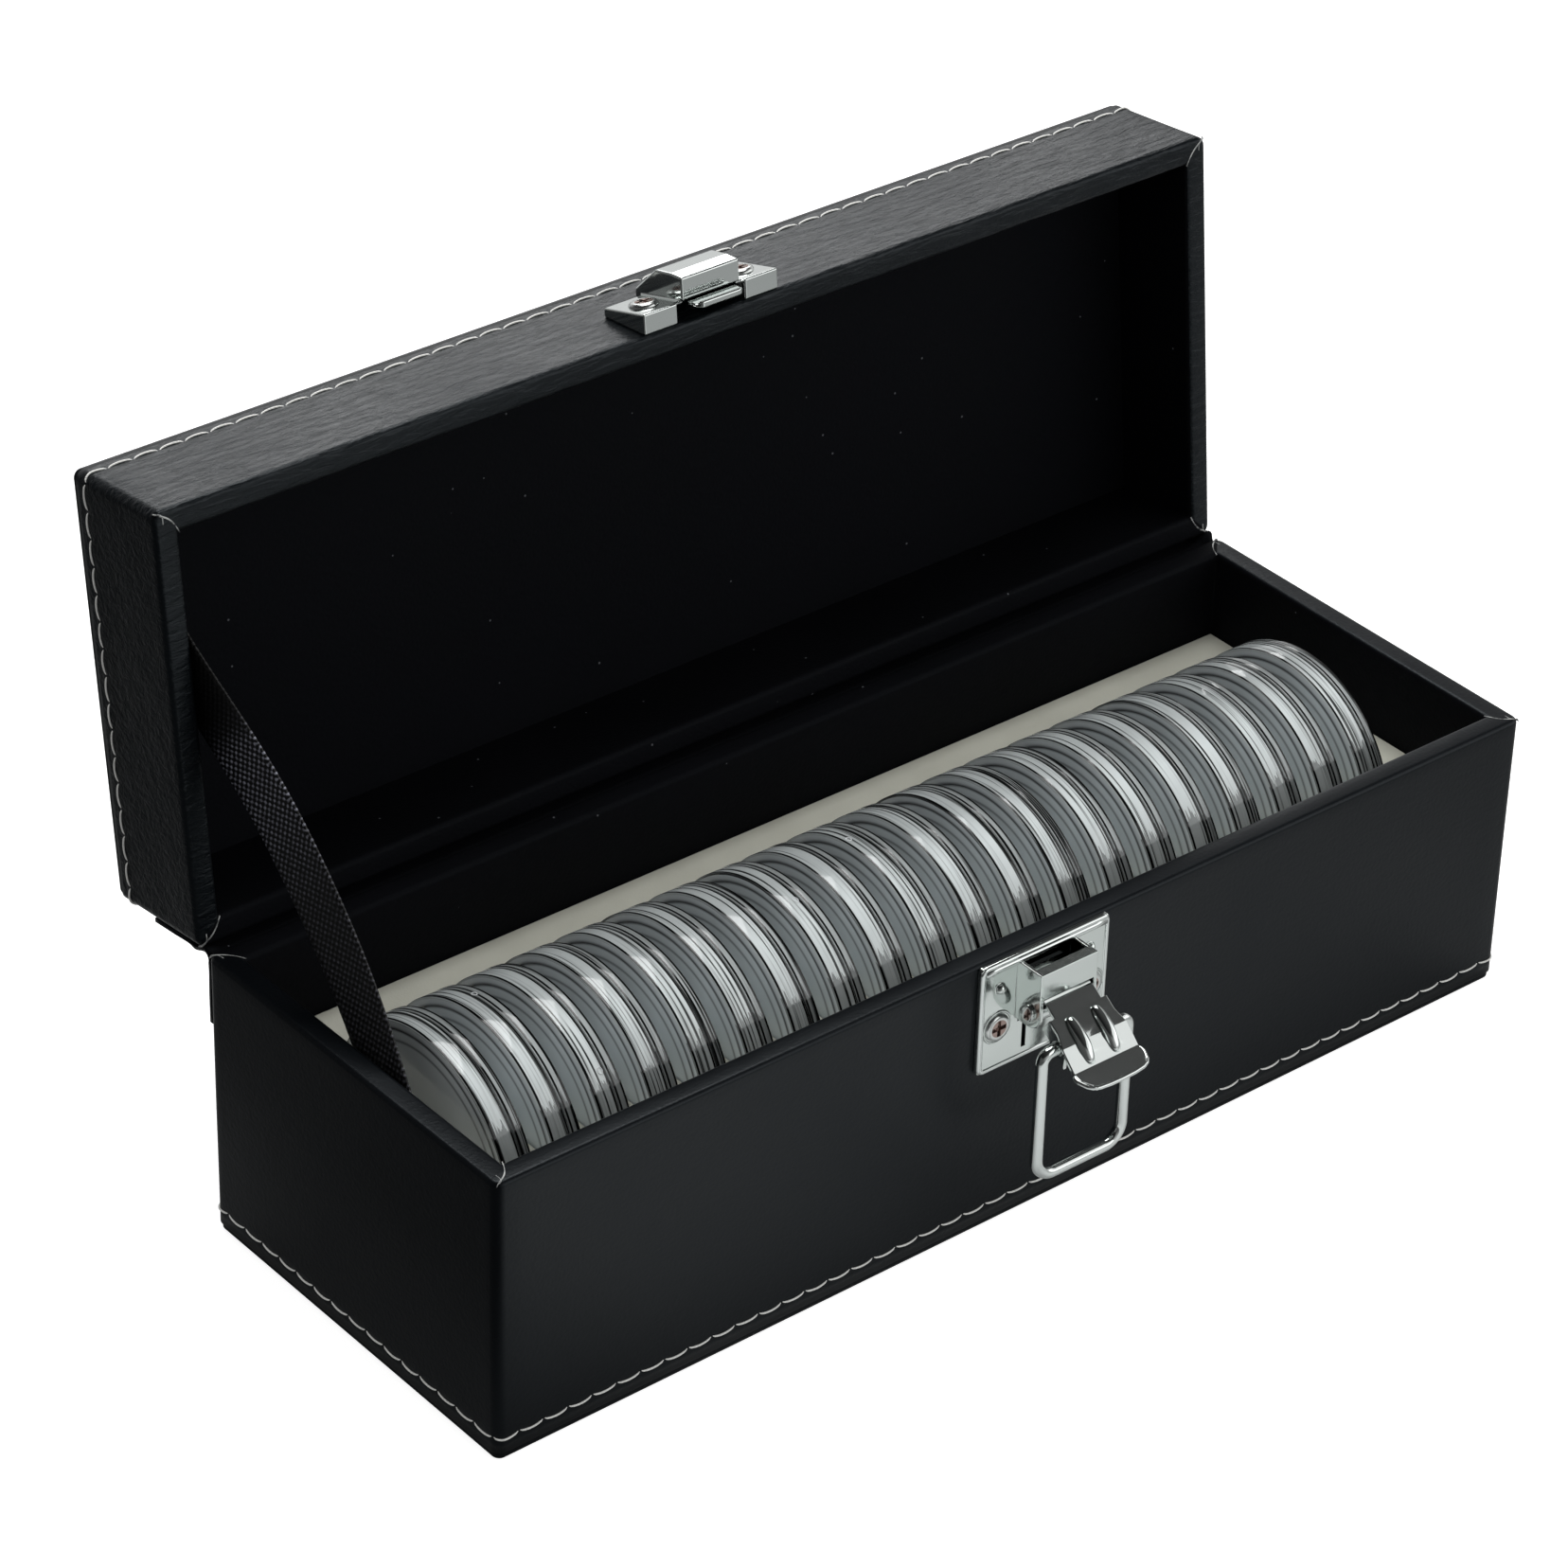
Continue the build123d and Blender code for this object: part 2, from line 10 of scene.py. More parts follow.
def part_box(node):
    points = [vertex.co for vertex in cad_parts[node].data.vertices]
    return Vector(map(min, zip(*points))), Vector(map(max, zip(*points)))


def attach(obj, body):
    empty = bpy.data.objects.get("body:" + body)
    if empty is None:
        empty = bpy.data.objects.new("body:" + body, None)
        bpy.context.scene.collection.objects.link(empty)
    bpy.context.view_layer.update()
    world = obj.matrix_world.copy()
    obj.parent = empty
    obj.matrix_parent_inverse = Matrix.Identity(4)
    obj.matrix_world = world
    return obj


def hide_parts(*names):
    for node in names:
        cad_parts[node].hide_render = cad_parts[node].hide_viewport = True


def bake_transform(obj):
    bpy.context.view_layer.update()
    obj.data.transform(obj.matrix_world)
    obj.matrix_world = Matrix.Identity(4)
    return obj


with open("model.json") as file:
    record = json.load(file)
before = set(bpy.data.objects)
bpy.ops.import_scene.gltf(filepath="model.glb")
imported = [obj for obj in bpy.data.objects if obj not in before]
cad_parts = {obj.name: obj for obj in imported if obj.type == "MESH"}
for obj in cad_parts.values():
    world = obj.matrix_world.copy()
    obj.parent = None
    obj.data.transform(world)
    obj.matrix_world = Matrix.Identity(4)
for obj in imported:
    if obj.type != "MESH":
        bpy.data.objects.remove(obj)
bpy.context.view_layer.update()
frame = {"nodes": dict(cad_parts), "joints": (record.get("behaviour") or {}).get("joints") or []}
nodes = frame["nodes"]
mm = 0.001


# Boards. The box and the lid are trays of raw grey board, glued at the corners.
# Leather covers them all over, so only their cut edges would ever show.

def paint(red, green, blue):
    """A colour written as screen values from 0 to 255, as linear light."""
    return tuple((value / 255) ** 2.2 for value in (red, green, blue)) + (1.0,)


def finish_of(name, colour, roughness, **sockets):
    """A new material: its tree, its Principled shader, and plain values on that shader's sockets."""
    material = bpy.data.materials.new(name)
    material.use_nodes = True
    shader = material.node_tree.nodes["Principled BSDF"]
    shader.inputs["Base Color"].default_value = colour
    shader.inputs["Roughness"].default_value = roughness
    for socket, value in sockets.items():
        shader.inputs[socket.replace("_", " ")].default_value = value
    return material, material.node_tree, shader


def feed(socket, value):
    """Link an output to a socket, or set the socket where a plain value is given."""
    if isinstance(value, bpy.types.NodeSocket):
        socket.id_data.links.new(value, socket)
    else:
        socket.default_value = value


def add_node(tree, kind, **settings):
    """One node with its settings. A setting of an input is given by that input's name, and may
    be the output of another node."""
    node = tree.nodes.new(kind)
    for key, value in settings.items():
        if hasattr(node, key):
            setattr(node, key, value)
        else:
            feed(node.inputs[key.replace("_", " ")], value)
    return node


def object_place(tree):
    """The output that gives a point's place on the object, in metres."""
    return add_node(tree, "ShaderNodeTexCoord").outputs["Object"]


def noise_over(tree, scale, detail, place=None):
    """Cloudy noise, with about so many clouds to a metre, over the object or another place."""
    place = place or object_place(tree)
    return add_node(tree, "ShaderNodeTexNoise", Scale=scale, Detail=detail, Vector=place).outputs[0]


def two_tone(tree, value, first, last, start=0.0, end=1.0):
    """A colour ramp from one paint to another, each at its place, read with a value."""
    ramp = add_node(tree, "ShaderNodeValToRGB")
    for element, spot, tone in zip(ramp.color_ramp.elements, (start, end), (first, last)):
        element.position, element.color = spot, paint(*tone)
    feed(ramp.inputs[0], value)
    return ramp.outputs[0]


def dress(piece, material):
    """Give a piece or a CAD node one material."""
    piece.data.materials.clear()
    piece.data.materials.append(material)


board_finish, board_tree, board_shader = finish_of("grey_board", paint(150, 146, 138), 0.9)
board_tone = two_tone(board_tree, noise_over(board_tree, 900.0, 5.0), (128, 124, 116), (168, 164, 156))
feed(board_shader.inputs["Base Color"], board_tone)
for name in ("base_board", "lid_board"):
    dress(nodes[name], board_finish)


# Base cover. One skin of coated black leather, wrapped round the board tray, over its rim
# and down the inside. It is drawn tight, so the walls crown a little between the edges.

base_low, base_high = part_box("base_cover")
half_length, half_depth = base_high.x, base_high.y
base_rim = base_high.z
insert_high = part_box("insert")[1]
wall = half_length - insert_high.x
lining_end = insert_high.z - 6 * mm
corner = 2.0 * mm
skin = 0.8 * mm
corner_signs = np.array([(-1, -1), (1, -1), (1, 1), (-1, 1)])
outside_rows = 26
inside_rows = 12


def loop_round(half_x, half_y, radius, height, straight=60, turn=8):
    """Rounded rectangles stacked as rows of a grid: each row goes once round at its own half
    sizes, corner radius and height. Returns the points and the outward directions."""
    along = np.linspace(-1, 1, straight, endpoint=False)
    arc = np.linspace(0, 1, turn, endpoint=False)
    signs, angles = [], []
    for side in range(4):
        start, end = corner_signs[side], corner_signs[(side + 1) % 4]
        share = (along[:, None] + 1) / 2
        signs.append(start + (end - start) * share)
        angles.append(np.full(straight, -math.pi / 2 + side * math.pi / 2))
        signs.append(np.repeat(end[None], turn, 0))
        angles.append(-math.pi / 2 + (side + arc) * math.pi / 2)
    signs, angles = np.concatenate(signs), np.concatenate(angles)
    out = np.stack([np.cos(angles), np.sin(angles)], -1)
    half = np.stack([half_x - radius, half_y - radius], -1)
    flat = signs[None] * half[:, None] + radius[:, None, None] * out[None]
    points = np.concatenate([flat, np.broadcast_to(height[:, None, None], flat[..., :1].shape)], -1)
    normals = np.concatenate([out, np.zeros((len(out), 1))], -1)
    return points, np.broadcast_to(normals, points.shape)


def in_scene(name, data):
    """A new object of the scene, at the origin, that holds a mesh, a lamp or a camera."""
    item = bpy.data.objects.new(name, data)
    bpy.context.scene.collection.objects.link(item)
    return item


def mesh_of(name, grid, close_rows=False, close_columns=True, flip=False):
    """A smooth mesh from a grid of points, or from a stack of such grids, joined to its own
    start along its rows or columns where asked."""
    stack = grid if grid.ndim == 4 else grid[None]
    count, rows, columns, _ = stack.shape
    index = np.arange(count * rows * columns).reshape(count, rows, columns)
    if close_rows:
        index = np.concatenate([index, index[:, :1]], 1)
    if close_columns:
        index = np.concatenate([index, index[:, :, :1]], 2)
    faces = np.stack([index[:, :-1, :-1], index[:, :-1, 1:], index[:, 1:, 1:], index[:, 1:, :-1]], -1)
    faces = faces.reshape(-1, 4)
    if flip:
        faces = faces[:, ::-1]
    data = bpy.data.meshes.new(name)
    data.from_pydata(stack.reshape(-1, 3).tolist(), [], faces.tolist())
    data.shade_smooth()
    data.update()
    return in_scene(name, data)


def ripple(points, seed, size, count=14):
    """Soft unevenness: twice the mean of a few sine waves in seeded directions, about -1 to 1."""
    draw = np.random.default_rng(seed)
    waves = draw.normal(size=(count, 3)) / size
    return np.sin(points @ waves.T + draw.uniform(0, 2 * math.pi, count)).mean(-1) * 2


def cover_grid(low, high, inside_end, seed):
    """The cover's closed section carried round the box: up the outside with a slight crown,
    over the rounded rim, down the inside, and back along the board side of the leather."""
    rim_turn = 1.0 * mm
    tall = high - low
    rise = np.linspace(0, 1, outside_rows)
    bend = np.linspace(0, math.pi / 2, 7)
    out = np.concatenate([np.zeros(outside_rows), rim_turn * (1 - np.cos(bend[1:])),
                          wall - rim_turn + rim_turn * np.sin(bend), np.full(inside_rows, wall)])
    up = np.concatenate([low + rise * (tall - rim_turn), high - rim_turn + rim_turn * np.sin(bend[1:]),
                         high - rim_turn + rim_turn * np.cos(bend),
                         np.linspace(high - rim_turn - skin, inside_end, inside_rows)])
    back_out = np.array([wall - skin, wall - skin, skin, skin])
    back_up = np.array([inside_end, high - skin, high - skin, low])
    out, up = np.concatenate([out, back_out]), np.concatenate([up, back_up])
    radius = np.maximum(corner - out, 0.35 * mm)
    points, normals = loop_round(half_length - out, half_depth - out, radius, up)
    face = (out < 0.5 * mm)[:, None]
    crown = np.sin(np.clip((points[..., 2] - low) / tall, 0, 1) * math.pi)
    swell = 0.06 * mm * ripple(points, seed, 14 * mm) * crown
    return points + normals * np.where(face, swell, 0)[..., None]


base_grid = cover_grid(base_low.z, base_rim, lining_end, seed=3)
base_cover = mesh_of("base_cover_leather", base_grid, close_rows=True)


def inside_faces(grid):
    """Which faces of a closed cover's grid are inside the box, or on the rim along its back,
    where the matt lining runs on over the hinge: known from each face's middle."""
    shut = np.concatenate([grid, grid[:1]])
    shut = np.concatenate([shut, shut[:, :1]], 1)
    middle = (shut[:-1, :-1] + shut[:-1, 1:] + shut[1:, 1:] + shut[1:, :-1]) / 4
    from_end = half_length - np.abs(middle[..., 0])
    from_side = half_depth - np.abs(middle[..., 1])
    inner = np.minimum(from_end, from_side) > wall - 0.25 * mm
    on_rim = (np.arange(len(middle)) >= outside_rows)[:, None]
    along_back = on_rim & (middle[..., 1] > 0) & (from_side < from_end) & (from_side > 0.04 * mm)
    return (inner | along_back).reshape(-1)


def two_sided(piece, outer, inner, is_inner):
    """Give a piece two materials, the inner one on the faces for which is_inner is true."""
    piece.data.materials.append(outer)
    piece.data.materials.append(inner)
    piece.data.polygons.foreach_set("material_index", is_inner.astype(np.int32))


def maths(tree, operation, *values):
    """The output of a Math node on one, two or three values or outputs."""
    node = add_node(tree, "ShaderNodeMath", operation=operation)
    for socket, value in zip(node.inputs, values):
        feed(socket, value)
    return node.outputs[0]


def grain_group():
    """Leather grain: fine pebbles, long stretch wrinkles and large cloudy patches."""
    group = bpy.data.node_groups.new("leather_grain", "ShaderNodeTree")
    for label, way in (("Pebble", "INPUT"), ("Wrinkle", "INPUT"), ("Height", "OUTPUT"), ("Cloud", "OUTPUT")):
        group.interface.new_socket(label, in_out=way, socket_type="NodeSocketFloat")
    given = group.nodes.new("NodeGroupInput")
    result = group.nodes.new("NodeGroupOutput")
    place = object_place(group)
    pebbles = add_node(group, "ShaderNodeTexVoronoi", Scale=1500.0, feature="SMOOTH_F1", Vector=place)
    stretch = add_node(group, "ShaderNodeMapping", Scale=(170.0, 760.0, 760.0), Vector=place)
    wrinkles = add_node(group, "ShaderNodeTexNoise", Scale=1.0, Detail=4.0, Roughness=0.55,
                        Distortion=0.6, Vector=stretch.outputs[0])
    clouds = noise_over(group, 34.0, 3.0, place)
    pebble = maths(group, "MULTIPLY", pebbles.outputs["Distance"], given.outputs["Pebble"])
    wrinkle = maths(group, "MULTIPLY", wrinkles.outputs[0], given.outputs["Wrinkle"])
    deep = maths(group, "MULTIPLY", given.outputs["Wrinkle"], 3.0)
    swell = maths(group, "MULTIPLY", clouds, deep)
    relief = maths(group, "ADD", maths(group, "ADD", pebble, wrinkle), swell)
    feed(result.inputs["Height"], relief)
    feed(result.inputs["Cloud"], clouds)
    return group


leather_grain = grain_group()


def blended(tree, kind, first, second, factor=1.0):
    """The output of a colour Mix node on two colours or outputs."""
    return add_node(tree, "ShaderNodeMix", data_type="RGBA", blend_type=kind, Factor=factor, A=first,
                    B=second).outputs["Result"]


def emboss(tree, shader, height, strength, distance):
    """Let a height bend a shader's normal: by a share of the bump, and of a depth in metres."""
    bump = add_node(tree, "ShaderNodeBump", Strength=strength, Distance=distance, Height=height)
    feed(shader.inputs["Normal"], bump.outputs[0])


def leather_finish(name, deep, pebble, wrinkle, shine, rough):
    """Coated black leather: grain in the bump, clouded roughness and small changes of tone."""
    material, tree, shader = finish_of(name, paint(*deep), rough, Specular_IOR_Level=shine,
                                       Specular_Tint=(0.84, 0.94, 1.0, 1.0))
    grain = add_node(tree, "ShaderNodeGroup", node_tree=leather_grain, Pebble=pebble, Wrinkle=wrinkle)
    emboss(tree, shader, grain.outputs["Height"], 0.8, 0.25 * mm)
    cloud = maths(tree, "MULTIPLY_ADD", grain.outputs["Cloud"], 0.22, rough - 0.11)
    feed(shader.inputs["Roughness"], cloud)
    darker, lighter = (paint(*(level * share for level in deep)) for share in (0.8, 1.2))
    feed(shader.inputs["Base Color"], blended(tree, "MIX", darker, lighter, grain.outputs["Cloud"]))
    return material


base_leather = leather_finish("black_leather_base", (14, 16, 19),
                              pebble=0.12, wrinkle=0.12, shine=0.22, rough=0.34)
lining_finish = leather_finish("black_lining", (16, 16, 19),
                               pebble=0.3, wrinkle=0.1, shine=0.08, rough=0.7)
lining_tree = lining_finish.node_tree
lining_shader = lining_tree.nodes["Principled BSDF"]
dust = add_node(lining_tree, "ShaderNodeTexVoronoi", Scale=150.0, Vector=object_place(lining_tree))
speck = maths(lining_tree, "LESS_THAN", dust.outputs["Distance"], 0.032)
lining_tone = lining_shader.inputs["Base Color"].links[0].from_socket
dusty_tone = blended(lining_tree, "MIX", lining_tone, paint(92, 94, 98), speck)
feed(lining_shader.inputs["Base Color"], dusty_tone)
two_sided(base_cover, base_leather, lining_finish, inside_faces(base_grid))
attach(base_cover, "root")
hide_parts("base_cover")


def rings(middle, side, over, radius, around):
    """A ring of points about each middle, in the plane of two directions square to each other."""
    turn = np.linspace(0, 2 * math.pi, around, endpoint=False)[:, None]
    out = np.cos(turn) * side[..., None, :] + np.sin(turn) * over[..., None, :]
    return middle[..., None, :] + radius[..., None, None] * out


def unit(vectors):
    """Vectors divided by their lengths."""
    return vectors / np.linalg.norm(vectors, axis=-1, keepdims=True)


def tube_along(path, radius, around):
    """A round tube along a path, or along each of a stack of paths: rings set square to the
    path's own direction, closed at both ends by rings of no size. The radius may change along
    it. Each ring starts off a direction that no path follows."""
    path = np.asarray(path, float)
    radius = np.broadcast_to(radius, path.shape[:-1])
    ahead = unit(np.gradient(path, axis=-2))
    no_path = np.array([0.31, 0.17, 0.94])
    side = unit(np.cross(ahead, no_path))
    body = rings(path, side, np.cross(ahead, side), radius, around)
    first, last = (np.broadcast_to(end[..., None, :], body[..., :1, :, :].shape)
                   for end in (path[..., :1, :], path[..., -1:, :]))
    return np.concatenate([first, body, last], -3)


def crease_paths(height, seed, facing=1):
    """Creases where the turned-in leather meets at 45 degrees on the rim's corners: from the
    outer corner to the inner one, bent and frayed a little, in fine strands. The rim faces up
    (1) or down (-1), and the strands are half sunk into it."""
    draw = np.random.default_rng(seed)
    share = np.linspace(0, 1, 9)
    paths = []
    for sign_x, sign_y in corner_signs:
        bend = draw.uniform(0.35, 0.6) * mm
        for strand in range(3):
            inward = 0.35 * mm + share * (wall - 0.3 * mm) * (1, 0.93, 0.4)[strand]
            drift = (0, 0.13, -0.35)[strand] * mm
            x = half_length - inward - bend * np.sin(math.pi * share) - drift * share
            y = half_depth - inward + bend * np.sin(math.pi * share) + drift * share
            rise = 0.02 * mm * np.sin(5 * share + strand) - 0.05 * mm - 0.55 * mm * (share < 0.06)
            z = height + facing * rise
            paths.append(np.stack([sign_x * x, sign_y * y, z], -1))
    return np.array(paths)


# The crease strands are painted pale: partly worn coating, partly a painted highlight along the fold.
wear_and_highlight_finish, wear_and_highlight_tree, wear_and_highlight_shader = finish_of("worn_edge_and_painted_highlight", paint(150, 152, 152), 0.6)
wear_and_highlight_tone = two_tone(wear_and_highlight_tree, noise_over(wear_and_highlight_tree, 700.0, 3.0), (48, 50, 52), (196, 198, 196), 0.35, 0.65)
feed(wear_and_highlight_shader.inputs["Base Color"], wear_and_highlight_tone)
strand_radius = 0.10 * mm
base_crease = mesh_of("base_rim_crease", tube_along(crease_paths(base_rim, seed=4), strand_radius, around=5))
dress(base_crease, wear_and_highlight_finish)
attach(base_crease, "root")


# Bottom panel. A thin board wrapped in the same leather and glued under the base.
# Its edge shows as a lip below the walls.

def panel_grid(low, high, edge):
    """A flat plate with rounded edges: a section from the middle of one face round the edge
    to the middle of the other, carried round the plate."""
    inset = 0.4 * mm
    bend = np.linspace(0, math.pi / 2, 6)
    out = np.concatenate([[half_depth, half_depth * 0.5], inset + edge * (1 - np.sin(bend)),
                          inset + edge * (1 - np.cos(bend)), [half_depth * 0.5, half_depth]])
    up = np.concatenate([[low, low], low + edge * (1 - np.cos(bend)),
                         high - edge + edge * np.sin(bend), [high, high]])
    radius = np.minimum(np.maximum(corner - out, 0.2 * mm), half_depth - out)
    return loop_round(half_length - out, half_depth - out, radius, up)[0]


def merged(piece, fill=False):
    """The piece with its doubled points made one, its open ends filled where asked, and its
    faces turned outwards."""
    shape = bmesh.new()
    shape.from_mesh(piece.data)
    bmesh.ops.remove_doubles(shape, verts=shape.verts, dist=0.0001 * mm)
    if fill:
        bmesh.ops.holes_fill(shape, edges=[edge for edge in shape.edges if edge.is_boundary])
    bmesh.ops.recalc_face_normals(shape, faces=shape.faces)
    shape.to_mesh(piece.data)
    shape.free()
    return piece


panel_low, panel_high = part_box("bottom_panel")
panel_round = 0.5 * mm
bottom_panel = merged(mesh_of("bottom_panel_leather", panel_grid(panel_low.z, panel_high.z, panel_round)))
panel_leather = leather_finish("black_leather_panel", (12, 13, 16),
                               pebble=0.2, wrinkle=0.2, shine=0.2, rough=0.36)
dress(bottom_panel, panel_leather)
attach(bottom_panel, "root")
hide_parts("bottom_panel")


# Base stitching. White waxed thread, one row all round just above the bottom edge.
# Each stitch comes out of one hole, sags and dives into the next.

stitch_pitch = 5.2 * mm
thread_radius = 0.20 * mm


def wall_point(run, half_x, half_y, radius):
    """Places along the outline of the box, by distance from the left end of the front wall,
    with the outward directions there."""
    lengths = []
    for side in range(4):
        lengths += [2 * ((half_x, half_y)[side % 2] - radius), radius * math.pi / 2]
    ends = np.cumsum(lengths)
    run = np.mod(run, ends[-1])
    part = np.searchsorted(ends, run, side="right")
    into = (run - np.concatenate([[0], ends])[part]) / np.array(lengths)[part]
    side, turning = part // 2, part % 2
    start, end = corner_signs[side], corner_signs[(side + 1) % 4]
    sign = np.where(turning[..., None] == 1, end, start + (end - start) * into[..., None])
    angle = -math.pi / 2 + (side + np.where(turning == 1, into, 0)) * math.pi / 2
    out = np.stack([np.cos(angle), np.sin(angle)], -1)
    return sign * np.array([half_x - radius, half_y - radius]) + radius * out, out


def stitch_grid(height, sag, seed):
    """All the stitches of a row as one stack of tubes. Along each, a half sine lifts the
    thread out of the leather, and another lets it sag towards the box's edge."""
    around = 4 * (half_length + half_depth) - (8 - 2 * math.pi) * corner
    count = int(around // stitch_pitch)
    step = around / count
    draw = np.random.default_rng(seed)
    share = np.linspace(0, 1, 11)
    start = (np.arange(count) + 0.52) * step
    sway = draw.normal(0, 0.05 * mm, (count, 1))
    run = start[:, None] + (0.02 + 0.96 * share[None]) * step
    flat, out = wall_point(run, half_length, half_depth, corner)
    bow = np.sin(math.pi * share) ** 0.6
    lift = thread_radius * (1.7 * np.sin(math.pi * share) ** 0.35 - 0.85)
    drop = (0.46 * mm + sway) * bow[None] - 0.3 * mm
    middle = np.concatenate([flat + out * lift[None, :, None], (height + sag * drop)[..., None]], -1)
    side = np.concatenate([out, np.zeros(out.shape[:-1] + (1,))], -1)
    return rings(middle, side, np.array([0, 0, 1.0]), thread_radius * (0.72 + 0.28 * bow), around=6)


thread_finish, thread_tree, thread_shader = finish_of("white_thread", paint(240, 240, 236), 0.6)
thread_twist = add_node(thread_tree, "ShaderNodeTexWave", Scale=900.0, Distortion=1.5,
                        bands_direction="DIAGONAL", Vector=object_place(thread_tree))
emboss(thread_tree, thread_shader, thread_twist.outputs["Fac"], 0.5, 0.1 * mm)

stitch_low, stitch_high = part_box("base_stitching")
base_stitch_height = (stitch_low.z + stitch_high.z) / 2
base_thread = mesh_of("base_thread", stitch_grid(base_stitch_height, sag=-1, seed=11))
dress(base_thread, thread_finish)
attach(base_thread, "root")
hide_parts("base_stitching")


# Insert. A cream flocked block, cut with one round-bottomed slot for each capsule. The flock
# is a little cloudy and fuzzy; the block itself is the CAD one.

insert_finish, insert_tree, insert_shader = finish_of("cream_flock", paint(176, 174, 162), 0.85)
insert_tone = two_tone(insert_tree, noise_over(insert_tree, 70.0, 4.0), (190, 190, 177), (216, 216, 202))
feed(insert_shader.inputs["Base Color"], insert_tone)
emboss(insert_tree, insert_shader, noise_over(insert_tree, 2600.0, 3.0), 0.4, 0.12 * mm)
dress(nodes["insert"], insert_finish)


# Capsules. Each is moulded in clear acrylic: a cup with a thin wall on the left, and a cover
# on the right whose inner ring plugs into the cup and holds the medal.

capsule_count = 20
capsule_low, capsule_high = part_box("capsule_01")
capsule_radius = (capsule_high.y - capsule_low.y) / 2
capsule_half = (capsule_high.x - capsule_low.x) / 2
capsule_height = (capsule_high.z + capsule_low.z) / 2
medal_low, medal_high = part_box("medal_01")
medal_radius = (medal_high.y - medal_low.y) / 2


def turned(name, section, centre, steps=144):
    """A solid turned about an axis along the box: a closed section of (along, radius) pairs
    carried round. A radius of nothing closes the section on the axis."""
    along, out = np.array(section)[:, :1], np.array(section)[:, 1:]
    angle = np.linspace(0, 2 * math.pi, steps, endpoint=False)
    grid = np.stack(np.broadcast_arrays(along, out * np.cos(angle), out * np.sin(angle)), -1)
    piece = merged(mesh_of(name, grid + np.array(centre), close_rows=True))
    piece.data.set_sharp_from_angle(angle=math.radians(40))
    return piece


def rounded(points, radius, steps=3):
    """A section with its marked corners rounded: (along, radius, True) is a corner to round."""
    result = []
    count = len(points)
    for index, (along, out, marked) in enumerate(points):
        here = np.array([along, out])
        if not marked:
            result.append(here)
            continue
        before = np.array(points[index - 1][:2]) - here
        after = np.array(points[(index + 1) % count][:2]) - here
        start, end = here + unit(before) * radius, here + unit(after) * radius
        for share in np.linspace(0, 1, steps + 1):
            result.append((1 - share) ** 2 * start + 2 * share * (1 - share) * here + share ** 2 * end)
    return result


face_thick = 1.2 * mm
brim = 2.0 * mm
cup_face, cover_face = -capsule_half, capsule_half
cup_floor = cup_face + face_thick
cup_end = cover_face - brim - 0.2 * mm
cup_bore = capsule_radius - 1.3 * mm
plug_start, plug_out = cup_floor + 0.3 * mm, cup_bore - 0.15 * mm
medal_bore = medal_radius + 0.3 * mm
cup_section = rounded([(cup_face, 0, False), (cup_face, capsule_radius, True),
                       (cup_end, capsule_radius, True), (cup_end, cup_bore, False),
                       (cup_floor, cup_bore, True), (cup_floor, 0, False)], 0.28 * mm)
cover_section = rounded([(cover_face, 0, False), (cover_face - face_thick, 0, False),
                         (cover_face - face_thick, medal_bore, True), (plug_start, medal_bore, True),
                         (plug_start, plug_out, True), (cover_face - brim, plug_out, False),
                         (cover_face - brim, capsule_radius, True),
                         (cover_face, capsule_radius, True)], 0.25 * mm)

acrylic, acrylic_tree, acrylic_shader = finish_of("clear_acrylic", paint(226, 232, 234), 0.03,
                                                  Transmission_Weight=0.26, IOR=1.46)
row_start = capsule_low.x
row_pitch = (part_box(f"capsule_{capsule_count}")[0].x - row_start) / (capsule_count - 1)


def stepped_ramp(tree, places, value, tint=(0.992, 1.0, 1.0)):
    """A colour ramp of grey levels times a tint, each at its place from 0 to 1, read with a value."""
    ramp = add_node(tree, "ShaderNodeValToRGB")
    elements = ramp.color_ramp.elements
    for spot, level in places:
        element = elements.new(spot) if 0 < spot < 1 else elements[0 if spot == 0 else len(elements) - 1]
        element.color = paint(*(level * share for share in tint))
    feed(ramp.inputs[0], value)
    return ramp.outputs[0]


def parts_of(tree, place=None):
    """The outputs that give the x, y and z of a point on the object, or of another place."""
    place = place or object_place(tree)
    return tuple(add_node(tree, "ShaderNodeSeparateXYZ", Vector=place).outputs)


